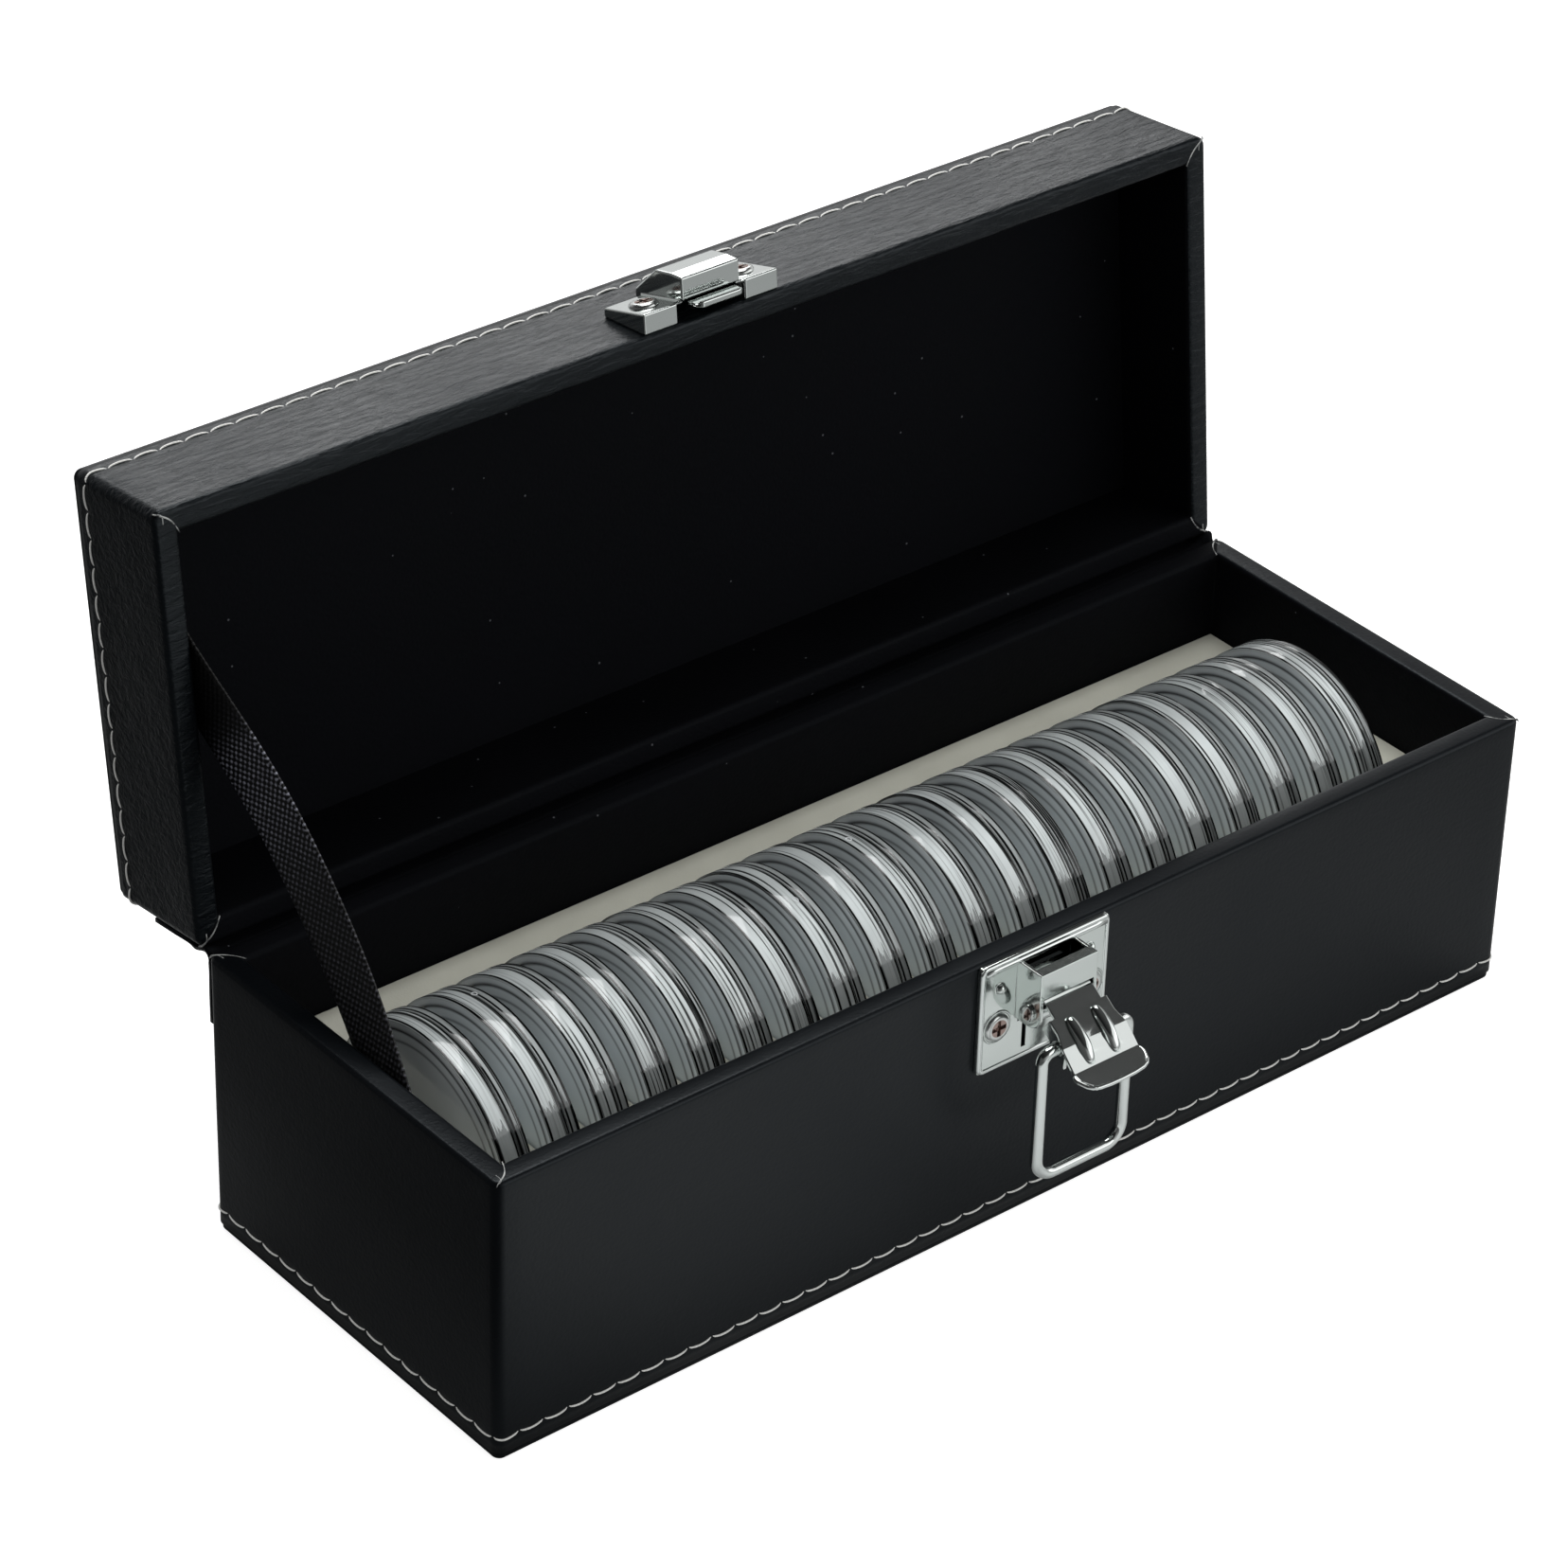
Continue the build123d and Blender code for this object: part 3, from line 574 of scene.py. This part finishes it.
def painted_capsule_light(tree):
    """Light and shade painted round a capsule: painted dark lines where light is lost in an edge or in the
    joint between cup and cover, and painted highlights beside them. The rim's are placed along the capsule,
    the faces' by distance from its middle. The rim is painted lighter towards its front and towards its top,
    with painted reflection streaks; the faces a little lighter towards the front."""
    x, y, z = parts_of(tree)
    start = maths(tree, "SUBTRACT", x, row_start - 0.1 * mm)
    local = maths(tree, "DIVIDE", maths(tree, "MODULO", start, row_pitch), 2 * capsule_half + 0.2 * mm)
    height = maths(tree, "SUBTRACT", z, capsule_height)
    squares = maths(tree, "MULTIPLY_ADD", height, height, maths(tree, "MULTIPLY", y, y))
    out = maths(tree, "SQRT", squares)
    share = maths(tree, "DIVIDE", out, capsule_radius)
    # Painted dark lines where an edge or the cup's joint loses light, and painted highlights beside them.
    rim = stepped_ramp(tree, ((0.0, 255), (0.02, 255), (0.035, 12), (0.085, 22), (0.105, 255), (0.55, 255),
                              (0.575, 12), (0.65, 10), (0.67, 255), (0.685, 245), (0.705, 12), (0.755, 20),
                              (0.77, 205), (0.89, 195), (0.92, 14), (0.97, 14), (1.0, 150)), local)
    face = stepped_ramp(tree, ((0.0, 252), (0.70, 252), (0.825, 250), (0.845, 150), (0.865, 250),
                               (0.91, 255), (0.93, 45), (0.955, 245), (0.985, 255), (1.0, 255)),
                        share, tint=(0.968, 0.99, 1.0))
    # The rim is painted lighter towards its front.
    front = maths(tree, "DIVIDE", y, -capsule_radius)
    lit = stepped_ramp(tree, ((0.0, 200), (0.12, 212), (0.30, 240), (0.42, 255), (1.0, 255)), front)
    fine = add_node(tree, "ShaderNodeMapping", Scale=(1900.0, 24.0, 24.0), Vector=object_place(tree))
    noise = noise_over(tree, 1.0, 2.0, fine.outputs[0])
    # Painted reflection streaks round the rim.
    painted_reflection_streak = stepped_ramp(tree, ((0.0, 15), (0.36, 70), (0.43, 225), (0.52, 255), (1.0, 255)), noise)
    rim = blended(tree, "MULTIPLY", blended(tree, "MULTIPLY", rim, lit), painted_reflection_streak)
    # Below a ragged line the rim is painted darker, as shade; towards its top it stays lighter.
    edge = maths(tree, "MULTIPLY_ADD", noise, 0.34, 0.455)
    low = maths(tree, "LESS_THAN", maths(tree, "DIVIDE", height, capsule_radius), edge)
    rim = blended(tree, "MULTIPLY", rim, stepped_ramp(tree, ((0.0, 255), (1.0, 165)), low))
    on_rim = maths(tree, "GREATER_THAN", out, capsule_radius - 0.45 * mm)
    # The faces are painted a little lighter towards the front.
    face = blended(tree, "MULTIPLY", face, stepped_ramp(tree, ((0.0, 225), (0.45, 255), (1.0, 255)), front))
    return blended(tree, "MIX", face, rim, on_rim)


# The acrylic's colour carries each capsule's painted light and shade.
feed(acrylic_shader.inputs["Base Color"], painted_capsule_light(acrylic_tree))
scuff = maths(acrylic_tree, "MULTIPLY_ADD", noise_over(acrylic_tree, 120.0, 6.0), 0.05, 0.05)
feed(acrylic_shader.inputs["Roughness"], scuff)

medal_finish, medal_tree, medal_shader = finish_of("silver_medal", paint(233, 240, 245), 0.42, Metallic=0.2)
medal_rough = maths(medal_tree, "MULTIPLY_ADD", noise_over(medal_tree, 60.0, 5.0), 0.15, 0.3)
feed(medal_shader.inputs["Roughness"], medal_rough)

for number in range(1, capsule_count + 1):
    tag = f"{number:02d}"
    low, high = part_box("capsule_" + tag)
    seat = ((low.x + high.x) / 2, 0, capsule_height)
    cup = turned("capsule_cup_" + tag, cup_section, seat)
    cover = turned("capsule_cover_" + tag, cover_section, seat)
    for piece in (cup, cover):
        dress(piece, acrylic)
        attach(piece, "capsule_" + tag)
    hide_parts("capsule_" + tag)
    dress(nodes["medal_" + tag], medal_finish)


def gate_mark(number, turn, sideways):
    """A small oval left by moulding on a capsule's rim, turned forward from its top."""
    low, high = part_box(f"capsule_{number:02d}")
    ring = np.linspace(0, 2 * math.pi, 20, endpoint=False)
    angle = turn + 0.62 * mm / capsule_radius * np.sin(ring)
    x = (low.x + high.x) / 2 + sideways + 0.45 * mm * np.cos(ring)
    y, z = -capsule_radius * np.sin(angle), capsule_height + capsule_radius * np.cos(angle)
    return np.stack([x, y, z], -1)


mark_finish = finish_of("moulding_mark", paint(214, 218, 220), 0.3)[0]
for number, turn, sideways in ((2, -0.21, 1.2), (3, 0.80, 0.0), (8, 0.23, 0.0), (10, -0.12, -1.8)):
    oval = gate_mark(number, turn, sideways * mm)
    mark_grid = tube_along(np.concatenate([oval, oval[:1]]), 0.1 * mm, around=6)
    mark = mesh_of(f"capsule_mark_{number:02d}", mark_grid)
    dress(merged(mark), mark_finish)
    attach(mark, f"capsule_{number:02d}")


# Lid cover, panel, lining and stitching. The lid is made as the base is, upside down, and
# stands open on its folded leather spine. Its grids are worked out closed and then turned.

lid_joint = [joint for joint in frame["joints"] if joint["name"] == "lid_hinge"][0]
open_turn = -math.radians(lid_joint["range_deg"][0])
hinge_y, hinge_z = lid_joint["pos_m"][1:]


def opened(points):
    """Points of the closed lid turned back to where it stands open."""
    y, z = points[..., 1] - hinge_y, points[..., 2] - hinge_z
    cos, sin = math.cos(open_turn), math.sin(open_turn)
    return np.stack([points[..., 0], hinge_y + y * cos + z * sin, hinge_z - y * sin + z * cos], -1)


lid_rim = base_rim + 0.55 * mm
lid_height = 25.5 * mm
lid_top = lid_rim + lid_height
panel_thick = panel_high.z - panel_low.z


def upside_down(grid, middle):
    """A grid mirrored top to bottom about a height."""
    return grid * np.array([1, 1, -1]) + np.array([0, 0, 2 * middle])


lid_span = lid_height - panel_thick
lid_grid = upside_down(cover_grid(lid_rim, lid_rim + lid_span, lid_rim + lid_span - 2.4 * mm, seed=5),
                       lid_rim + lid_span / 2)
lid_cover = mesh_of("lid_cover_leather", opened(lid_grid), close_rows=True, flip=True)
lid_leather = leather_finish("black_leather_lid", (14, 17, 20),
                             pebble=0.15, wrinkle=1.7, shine=0.26, rough=0.33)
two_sided(lid_cover, lid_leather, lining_finish, inside_faces(lid_grid))
lid_panel_grid = panel_grid(lid_top - panel_thick, lid_top, panel_round)
lid_panel = merged(mesh_of("lid_panel_leather", opened(lid_panel_grid)))
dress(lid_panel, panel_leather)
lid_strands = tube_along(crease_paths(lid_rim, seed=9, facing=-1), strand_radius * 1.3, around=5)
lid_crease = mesh_of("lid_rim_crease", opened(lid_strands))
dress(lid_crease, wear_and_highlight_finish)
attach(lid_crease, "lid")
lid_thread = mesh_of("lid_thread", opened(stitch_grid(lid_top - 4.25 * mm, sag=1, seed=12)))
dress(lid_thread, thread_finish)
for piece, node, slot in ((lid_cover, "lid_cover", "black_leather"),
                          (lid_panel, "lid_top_panel", "black_leather"),
                          (lid_thread, "lid_stitching", "white_thread")):
    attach(piece, "lid")
    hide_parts(node)

dress(nodes["lid_lining"], lining_finish)


# Spine hinge. A strip of the same leather glued to both backs, folded where the lid turns.
# Its outer side is finished like the panels, its inner side like the lining.

def curve_through(points, steps):
    """A smooth curve through points: Catmull-Rom pieces, each weighted by cubes of its share."""
    points = np.asarray(points, float)
    padded = np.concatenate([2 * points[:1] - points[1:2], points, 2 * points[-1:] - points[-2:-1]])
    share = np.linspace(0, 1, steps, endpoint=False)[:, None]
    a, b, c, d = padded[:-3, None], padded[1:-2, None], padded[2:-1, None], padded[3:, None]
    inside = 0.5 * (2 * b + (c - a) * share + (2 * a - 5 * b + 4 * c - d) * share ** 2
                    + (3 * b - a - 3 * c + d) * share ** 3)
    return np.concatenate([inside.reshape(-1, points.shape[1]), points[-1:]])


def opened_pair(y, z):
    """One point of the closed lid's end section, turned to where the lid stands open."""
    return opened(np.array([0, y, z]))[1:]


leaf_middle = half_depth + skin / 2
spine_path = curve_through([*((leaf_middle, base_rim - down * mm) for down in (15, 9, 3)),
                            (leaf_middle + 1.6 * mm, base_rim - 2.3 * mm),
                            opened_pair(leaf_middle, lid_rim + 2.2 * mm) - (0, 1.0 * mm),
                            *(opened_pair(leaf_middle, lid_rim + up * mm) for up in (4, 9, 15))], steps=5)


def folded_strip(path, half_span, thick, columns):
    """A strip of leather: its end section, a loop offset to both sides of a path, is carried
    along the box. Near the strip's ends the fold is gathered up into a small puckered lump."""
    ahead = unit(np.gradient(path, axis=0))
    side = np.stack([ahead[:, 1], -ahead[:, 0]], -1) * thick / 2
    loop = np.concatenate([path + side, (path - side)[::-1]])
    along = np.linspace(-1, 1, columns) * half_span
    grid = np.stack(np.broadcast_arrays(along[None], loop[:, :1], loop[:, 1:]), -1)
    share = np.concatenate([np.linspace(0, 1, len(path)), np.linspace(1, 0, len(path))])
    in_fold = np.exp(-((share - 0.46) / 0.11) ** 2)[:, None]
    gather = np.exp(-((half_span - np.abs(along)) / (2.6 * mm)) ** 2)[None]
    grid[..., 1] -= in_fold * 1.1 * mm * gather
    grid[..., 2] += in_fold * gather * (2.3 * mm + 0.3 * mm * np.sin(along / (1.1 * mm)))
    return grid


spine_columns = 240
spine_grid = folded_strip(spine_path, half_length - 0.8 * mm, skin, spine_columns)
spine = mesh_of("spine_leather", spine_grid, close_rows=True, close_columns=False)
face_row = np.arange(len(spine.data.polygons)) // (spine_columns - 1)
two_sided(spine, panel_leather, lining_finish, face_row >= len(spine_path))
merged(spine, fill=True)
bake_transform(spine)
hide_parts("spine_hinge")


# Stay ribbon. Black woven ribbon glued inside the left end of base and lid. It stops the
# lid where it stands open, and hangs in a slight bow.

ribbon_width = 14 * mm
ribbon_foot = np.array([-9.0 * mm, 48.5 * mm])
ribbon_head = opened_pair(-13.3 * mm, lid_rim + 7 * mm)
ribbon_bow = 4.3 * mm
ribbon_tab = 3.4 * mm


def ribbon_grid(rows, columns):
    """The ribbon as a band from wall to wall: straight tabs at both ends, and between them an
    arc that bows into the box, with a slight twist and wave. Also each point's place on it."""
    run = ribbon_head - ribbon_foot
    span = np.linalg.norm(run)
    ahead = run / span
    across = np.array([-ahead[1], ahead[0]])
    length = np.linspace(-ribbon_tab, span + ribbon_tab, rows)
    breadth = np.linspace(-0.5, 0.5, columns) * ribbon_width
    arch = np.sin(math.pi * np.clip(length / span, 0, 1))
    twist = 0.45 * mm * arch[:, None] * (breadth / ribbon_width * 2)[None]
    wave = 0.18 * mm * np.sin(length / (9 * mm))[:, None] * arch[:, None]
    bow = (ribbon_bow * arch ** 1.15)[:, None] + twist + wave
    flat = ribbon_foot + length[:, None, None] * ahead + breadth[None, :, None] * across
    x = -half_length + wall + 0.25 * mm + bow
    return np.concatenate([x[..., None], flat], -1), length, breadth


def woven_finish():
    """Woven ribbon: rows of raised threads, each row half a step on, with a painted sheen on their tops,
    and a line of loops along both edges. Along its length a painted sheen, brightest past the middle, gives
    way to painted shade near the lid. It reads the ribbon's own map, in metres."""
    material, tree, shader = finish_of("black_ribbon", paint(22, 22, 25), 0.5, Specular_IOR_Level=0.4)
    place = add_node(tree, "ShaderNodeUVMap", uv_map="weave").outputs[0]
    length, breadth, _ = parts_of(tree, place)
    rows = maths(tree, "MULTIPLY", length, math.pi / (0.70 * mm))
    ends = maths(tree, "MULTIPLY", breadth, math.pi / (0.95 * mm))
    cell = maths(tree, "MULTIPLY", maths(tree, "SINE", rows), maths(tree, "SINE", ends))
    edge = maths(tree, "GREATER_THAN", maths(tree, "ABSOLUTE", breadth), 6.55 * mm)
    loops = maths(tree, "MULTIPLY", edge, maths(tree, "SINE", maths(tree, "MULTIPLY", rows, 1.4)))
    height = maths(tree, "ADD", cell, loops)
    noise = noise_over(tree, 1400.0, 2.0, place)
    uneven = maths(tree, "MULTIPLY", maths(tree, "ADD", height, 0.6), noise)
    # Painted sheen: the raised tops of the threads are painted lighter.
    painted_thread_sheen = two_tone(tree, uneven, (9, 9, 12), (140, 140, 152), 0.25)
    # Painted sheen and shade along the ribbon: brightest past its middle, dark near the lid end.
    along = maths(tree, "DIVIDE", length, float(np.linalg.norm(ribbon_head - ribbon_foot)))
    painted_sheen_along = stepped_ramp(tree, ((0.0, 120), (0.45, 130), (0.57, 200), (0.66, 255), (0.77, 255), (0.81, 110),
                               (0.85, 45), (1.0, 40)), along)
    feed(shader.inputs["Base Color"], blended(tree, "MULTIPLY", painted_thread_sheen, painted_sheen_along))
    emboss(tree, shader, height, 0.6, 0.12 * mm)
    return material


ribbon_columns = 13
ribbon_points, ribbon_length, ribbon_breadth = ribbon_grid(rows=60, columns=ribbon_columns)
ribbon = mesh_of("ribbon", ribbon_points, close_columns=False)
weave = ribbon.data.uv_layers.new(name="weave")
loop_points = np.zeros(len(ribbon.data.loops), np.int32)
ribbon.data.loops.foreach_get("vertex_index", loop_points)
places = np.stack(np.meshgrid(ribbon_length, ribbon_breadth, indexing="ij"), -1).reshape(-1, 2)
weave.data.foreach_set("uv", places[loop_points].astype(np.float32).reshape(-1))
thickness = ribbon.modifiers.new("thickness", "SOLIDIFY")
thickness.thickness = 0.4 * mm
thickness.offset = 0.0
dress(ribbon, woven_finish())
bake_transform(ribbon)
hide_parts("stay_ribbon")


# Latch and strike. Pressed from thin steel sheet and bright chromed; the screws are nickelled.
# The CAD shapes get small bevels, and the rolled edges and the lever's ribs are added to them.

def chrome_finish(name, tone, rough, painted_shade_box=None):
    """Chromed steel: faint orange peel in the bump and slightly uneven roughness. Inside the
    box of the two corners given, the colour is painted dark, as shade in a recess."""
    material, tree, shader = finish_of(name, paint(*tone), rough, Metallic=1.0)
    peel = noise_over(tree, 700.0, 2.0)
    emboss(tree, shader, peel, 0.08, 0.1 * mm)
    uneven = maths(tree, "MULTIPLY_ADD", peel, 0.06, rough - 0.03)
    feed(shader.inputs["Roughness"], uneven)
    if painted_shade_box:
        inside = 1.0
        for part, low, high in zip(parts_of(tree), *painted_shade_box):
            inside = maths(tree, "MULTIPLY", inside, maths(tree, "GREATER_THAN", part, low))
            inside = maths(tree, "MULTIPLY", inside, maths(tree, "LESS_THAN", part, high))
        coat_with_painted_shade = blended(tree, "MIX", paint(*tone), paint(26, 28, 29), inside)
        feed(shader.inputs["Base Color"], coat_with_painted_shade)
    return material


chrome = chrome_finish("bright_chrome", (214, 219, 217), 0.10)
front_face = -half_depth
# Inside the latch housing the plate is painted dark, as shade in the slot.
plate_chrome = chrome_finish("plate_chrome", (210, 216, 213), 0.12,
                             painted_shade_box=((-6 * mm, front_face - 6.9 * mm, 44 * mm),
                                     (6 * mm, front_face - 0.9 * mm, 57.0 * mm)))


def screw_finish(name, seat):
    """A nickelled screw: bright at its rim, warm in tone round the cross."""
    material, tree, shader = finish_of(name, paint(150, 130, 124), 0.24, Metallic=1.0)
    x, y, z = parts_of(tree)
    total = 0.0
    for part, middle in zip((maths(tree, "ABSOLUTE", x), y, z), seat):
        gap = maths(tree, "SUBTRACT", part, float(middle))
        total = maths(tree, "MULTIPLY_ADD", gap, gap, total)
    outer = maths(tree, "GREATER_THAN", maths(tree, "SQRT", total), 1.75 * mm)
    feed(shader.inputs["Base Color"], blended(tree, "MIX", paint(156, 136, 129), paint(206, 209, 207), outer))
    return material


def cad_copy(node, name, width=0.0, steps=3, angle=30):
    """A CAD node's own shape as a new piece: its loose triangles merged, flat faces joined,
    and its edges given a small bevel that catches the light."""
    piece = in_scene(name, nodes[node].data.copy())
    shape = bmesh.new()
    shape.from_mesh(piece.data)
    bmesh.ops.remove_doubles(shape, verts=shape.verts, dist=0.002 * mm)
    bmesh.ops.dissolve_limit(shape, angle_limit=math.radians(1.0), verts=shape.verts, edges=shape.edges)
    shape.to_mesh(piece.data)
    shape.free()
    piece.data.shade_smooth()
    if width > 0:
        bevel = piece.modifiers.new("edge", "BEVEL")
        bevel.width = width
        bevel.segments = steps
        bevel.limit_method = "ANGLE"
        bevel.angle_limit = math.radians(angle)
        bevel.harden_normals = True
        bevel.use_clamp_overlap = False
    piece.data.set_sharp_from_angle(angle=math.radians(angle))
    return piece


outward = {"root": Vector((0, -1, 0)), "lid": Vector((0, *(opened_pair(-1, 0) - opened_pair(0, 0))))}
screw_x = 10.9 * mm
screw_sink = 0.45 * mm
latch_nickel = screw_finish("latch_nickel", (screw_x, front_face - 2.0 * mm, 44.9 * mm))
strike_nickel = screw_finish("strike_nickel",
                             (screw_x, *opened_pair(front_face - 4.0 * mm, lid_rim + 6 * mm)))
for node, name, body, finish, slot, width in (
        ("latch_plate", "latch_plate_chrome", "root", plate_chrome, "chrome_sheet", 0.2),
        ("latch_pin", "latch_pin_chrome", "root", chrome, "chrome_sheet", 0.1),
        ("latch_lever", "latch_lever_chrome", "lever", chrome, "chrome_sheet", 0.2),
        ("strike_plate", "strike_plate_chrome", "lid", chrome, "chrome_sheet", 0.42),
        ("latch_screws", "latch_screw_heads", "root", latch_nickel, "nickel_screw", 0.1),
        ("strike_screws", "strike_screw_heads", "lid", strike_nickel, "nickel_screw", 0.1)):
    piece = cad_copy(node, name, width * mm)
    if slot == "nickel_screw":
        piece.data.transform(Matrix.Translation(-outward[body] * screw_sink))
    dress(piece, finish)
    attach(piece, body)
    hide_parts(node)
dress(nodes["latch_spring"], chrome)
dress(nodes["pull_ring"], chrome)


def out_of_front(off, height):
    """Distance out from the front face and height, as a point's y and z."""
    return front_face - off * mm, height * mm


rib_spots = (10.9, 48.9), (12.4, 47.9), (14.2, 46.7), (15.6, 45.4), (16.7, 43.9), (17.4, 42.8)
rib_line = curve_through([out_of_front(*spot) for spot in rib_spots], steps=6)
rib_paths = np.array([np.insert(rib_line, 0, x * mm, axis=1) for x in (-3.0, 3.0)])
rib_width = 1.4 * mm * np.clip(np.sin(np.linspace(0.05, math.pi - 0.05, len(rib_line))), 0, 1) ** 0.2
ribs = mesh_of("lever_ribs", tube_along(rib_paths, rib_width[None], around=14))
lip_spots = (7.6, 18.3, 42.35), (7.6, 19.9, 42.0), (5.1, 22.3, 41.45)
lip_half = np.array([(across * mm, *out_of_front(off, height)) for across, off, height in lip_spots])
lip_line = curve_through(np.concatenate([lip_half, lip_half[::-1] * (-1, 1, 1)]), steps=4)
lip_bead = mesh_of("lever_lip_bead", tube_along(lip_line, 0.45 * mm, around=8))
for piece in (ribs, lip_bead):
    dress(merged(piece), chrome)
    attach(piece, "lever")

plate_low, plate_high = 35.7 * mm, 58.6 * mm
plate_half = 15 * mm
plate_middle = (plate_low + plate_high) / 2


def border_path(half_wide, half_tall, radius, off, steps=7):
    """A rounded rectangle on the front face, once round."""
    arc = np.linspace(0, math.pi / 2, steps)
    turns = np.concatenate([arc + quarter * math.pi / 2 for quarter in range(4)])
    sign_x = np.repeat([1, -1, -1, 1], steps)
    sign_z = np.repeat([1, 1, -1, -1], steps)
    x = sign_x * (half_wide - radius) + radius * np.cos(turns)
    z = plate_middle + sign_z * (half_tall - radius) + radius * np.sin(turns)
    return np.stack([x, np.full_like(x, front_face - off), z], -1)


def bead_round(path, radius, around=10):
    """A round bead along a closed path: rings in the plane of the face's normal and the path's
    outward side."""
    ahead = unit(np.roll(path, -1, 0) - np.roll(path, 1, 0))
    forward = np.array([0.0, -1.0, 0.0])
    side = np.cross(ahead, forward)
    ring = np.linspace(0, 2 * math.pi, around, endpoint=False)
    turn = np.cos(ring)[:, None, None] * side + np.sin(ring)[:, None, None] * forward
    return path + radius * turn


edge_line = border_path(plate_half - 0.5 * mm, (plate_high - plate_low) / 2 - 0.5 * mm, 0.9 * mm, 0.75 * mm)
plate_edge = mesh_of("plate_edge", bead_round(edge_line, 0.65 * mm), close_rows=True)
bar_end = np.array([plate_half - 0.9 * mm, front_face - 0.95 * mm, plate_high - 1.25 * mm])
bar_line = np.linspace(bar_end * (-1, 1, 1), bar_end, 12)
plate_bar = mesh_of("plate_folded_edge", tube_along(bar_line, 0.75 * mm, around=14))
for piece in (plate_edge, plate_bar):
    dress(merged(piece), chrome)
    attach(piece, "root")


# Studio. A white floor that runs into a white world, large soft lamps, and the camera of the
# photograph's view.

def mixed(tree, factor, first, second):
    """The first value where the factor is 0, the second where it is 1."""
    return add_node(tree, "ShaderNodeMix", data_type="FLOAT", Factor=factor, A=first,
                    B=second).outputs["Result"]


def shown_or(tree, seen, unseen):
    """A value for rays from the camera, and another for every other ray."""
    return mixed(tree, add_node(tree, "ShaderNodeLightPath").outputs["Is Camera Ray"], unseen, seen)


floor_data = bpy.data.meshes.new("floor")
floor_reach = 3.0
floor_data.from_pydata([(*sign, 0) for sign in (corner_signs * floor_reach).tolist()], [], [(0, 1, 2, 3)])
floor = in_scene("floor", floor_data)
pale_grey = (0.6, 0.6, 0.6, 1)
floor_finish, floor_tree, floor_shader = finish_of("floor_white", pale_grey, 0.9, Emission_Color=(1, 1, 1, 1))
feed(floor_shader.inputs["Emission Strength"], shown_or(floor_tree, 0.82, 0.0))
# For every ray but the camera's, the floor is painted darker towards its left and right ends: painted shade,
# seen in the box's reflections and bounce light.
floor_side = add_node(floor_tree, "ShaderNodeMapRange", From_Min=-0.3, From_Max=0.3,
                      Value=parts_of(floor_tree)[0]).outputs["Result"]
floor_painted_shade = stepped_ramp(floor_tree, ((0.0, 80), (0.25, 80), (0.38, 238), (0.54, 232), (0.8, 165),
                                       (1.0, 160)), floor_side)
floor_seen = blended(floor_tree, "MIX", floor_painted_shade, pale_grey, shown_or(floor_tree, 1.0, 0.0))
feed(floor_shader.inputs["Base Color"], floor_seen)
dress(floor, floor_finish)

world = bpy.data.worlds.new("studio")
bpy.context.scene.world = world
world.use_nodes = True
sky = world.node_tree
backdrop = sky.nodes["Background"]
backdrop.inputs["Color"].default_value = (1, 1, 1, 1)
rays = add_node(sky, "ShaderNodeLightPath")
sideways, _, upward = parts_of(sky, add_node(sky, "ShaderNodeTexCoord").outputs["Generated"])
walls = add_node(sky, "ShaderNodeValToRGB")
walls.color_ramp.elements[0].color = (0.8, 0.8, 0.8, 1)
walls.color_ramp.elements[1].color = (0.06, 0.06, 0.06, 1)
for place, level in ((0.38, 0.7), (0.52, 0.08)):
    walls.color_ramp.elements.new(place).color = (level, level, level, 1)
feed(walls.inputs[0], upward)
shiny = maths(sky, "MAXIMUM", rays.outputs["Is Glossy Ray"], rays.outputs["Is Transmission Ray"])
sky_side = add_node(sky, "ShaderNodeMapRange", From_Min=-0.7, From_Max=0.3, To_Min=0.12,
                    Value=sideways).outputs["Result"]
mirrored = maths(sky, "MULTIPLY", walls.outputs[0], sky_side)
feed(backdrop.inputs["Strength"], shown_or(sky, 1.0, mixed(sky, shiny, 0.5, mirrored)))


def soft_lamp(name, place, aim, width, height, power):
    """A rectangular softbox that faces a point."""
    lamp = bpy.data.lights.new(name, "AREA")
    lamp.shape = "RECTANGLE"
    lamp.size, lamp.size_y = width, height
    lamp.energy = power
    holder = in_scene(name, lamp)
    holder.location = place
    holder.rotation_euler = (Vector(aim) - Vector(place)).to_track_quat("-Z", "Y").to_euler()


soft_lamp("overhead", (0.15, 0.30, 0.94), (0, 0, 0.05), 0.6, 0.6, 5.5)
soft_lamp("front_right", (0.66, -0.76, 0.52), (0, 0, 0.05), 1.6, 0.74, 3.5)
soft_lamp("behind_right", (0.40, 0.68, 0.46), (-0.05, 0.06, 0.14), 0.45, 0.18, 1.0)

view_turn, view_lift, view_roll = -math.radians(41.36), math.radians(32.80), math.radians(2.38)
full_length = 2 * half_length
view_distance = 4.267 * full_length
view_aim = np.array([0, 0, 0.3 * full_length])
lens_pixels, frame_pixels = 6017.0, 1656.0
centre_right, centre_down = 114.1, -12.8
to_eye = np.array([math.sin(view_turn) * math.cos(view_lift), -math.cos(view_turn) * math.cos(view_lift),
                   math.sin(view_lift)])
level_right = np.array([math.cos(view_turn), math.sin(view_turn), 0])
level_up = np.cross(to_eye, level_right)
view_right = level_right * math.cos(view_roll) + level_up * math.sin(view_roll)
view_up = -level_right * math.sin(view_roll) + level_up * math.cos(view_roll)
eye = view_aim + to_eye * view_distance
lens = bpy.data.cameras.new("camera")
lens.lens = lens_pixels / frame_pixels * lens.sensor_width
lens.shift_x = -centre_right / frame_pixels
lens.shift_y = centre_down / frame_pixels
camera = in_scene("camera", lens)
camera.matrix_world = Matrix([list(row) for row in np.column_stack(
    [np.append(view_right, 0), np.append(view_up, 0), np.append(to_eye, 0), np.append(eye, 1)])])
bpy.context.scene.camera = camera
bpy.context.scene.view_settings.view_transform = "Standard"
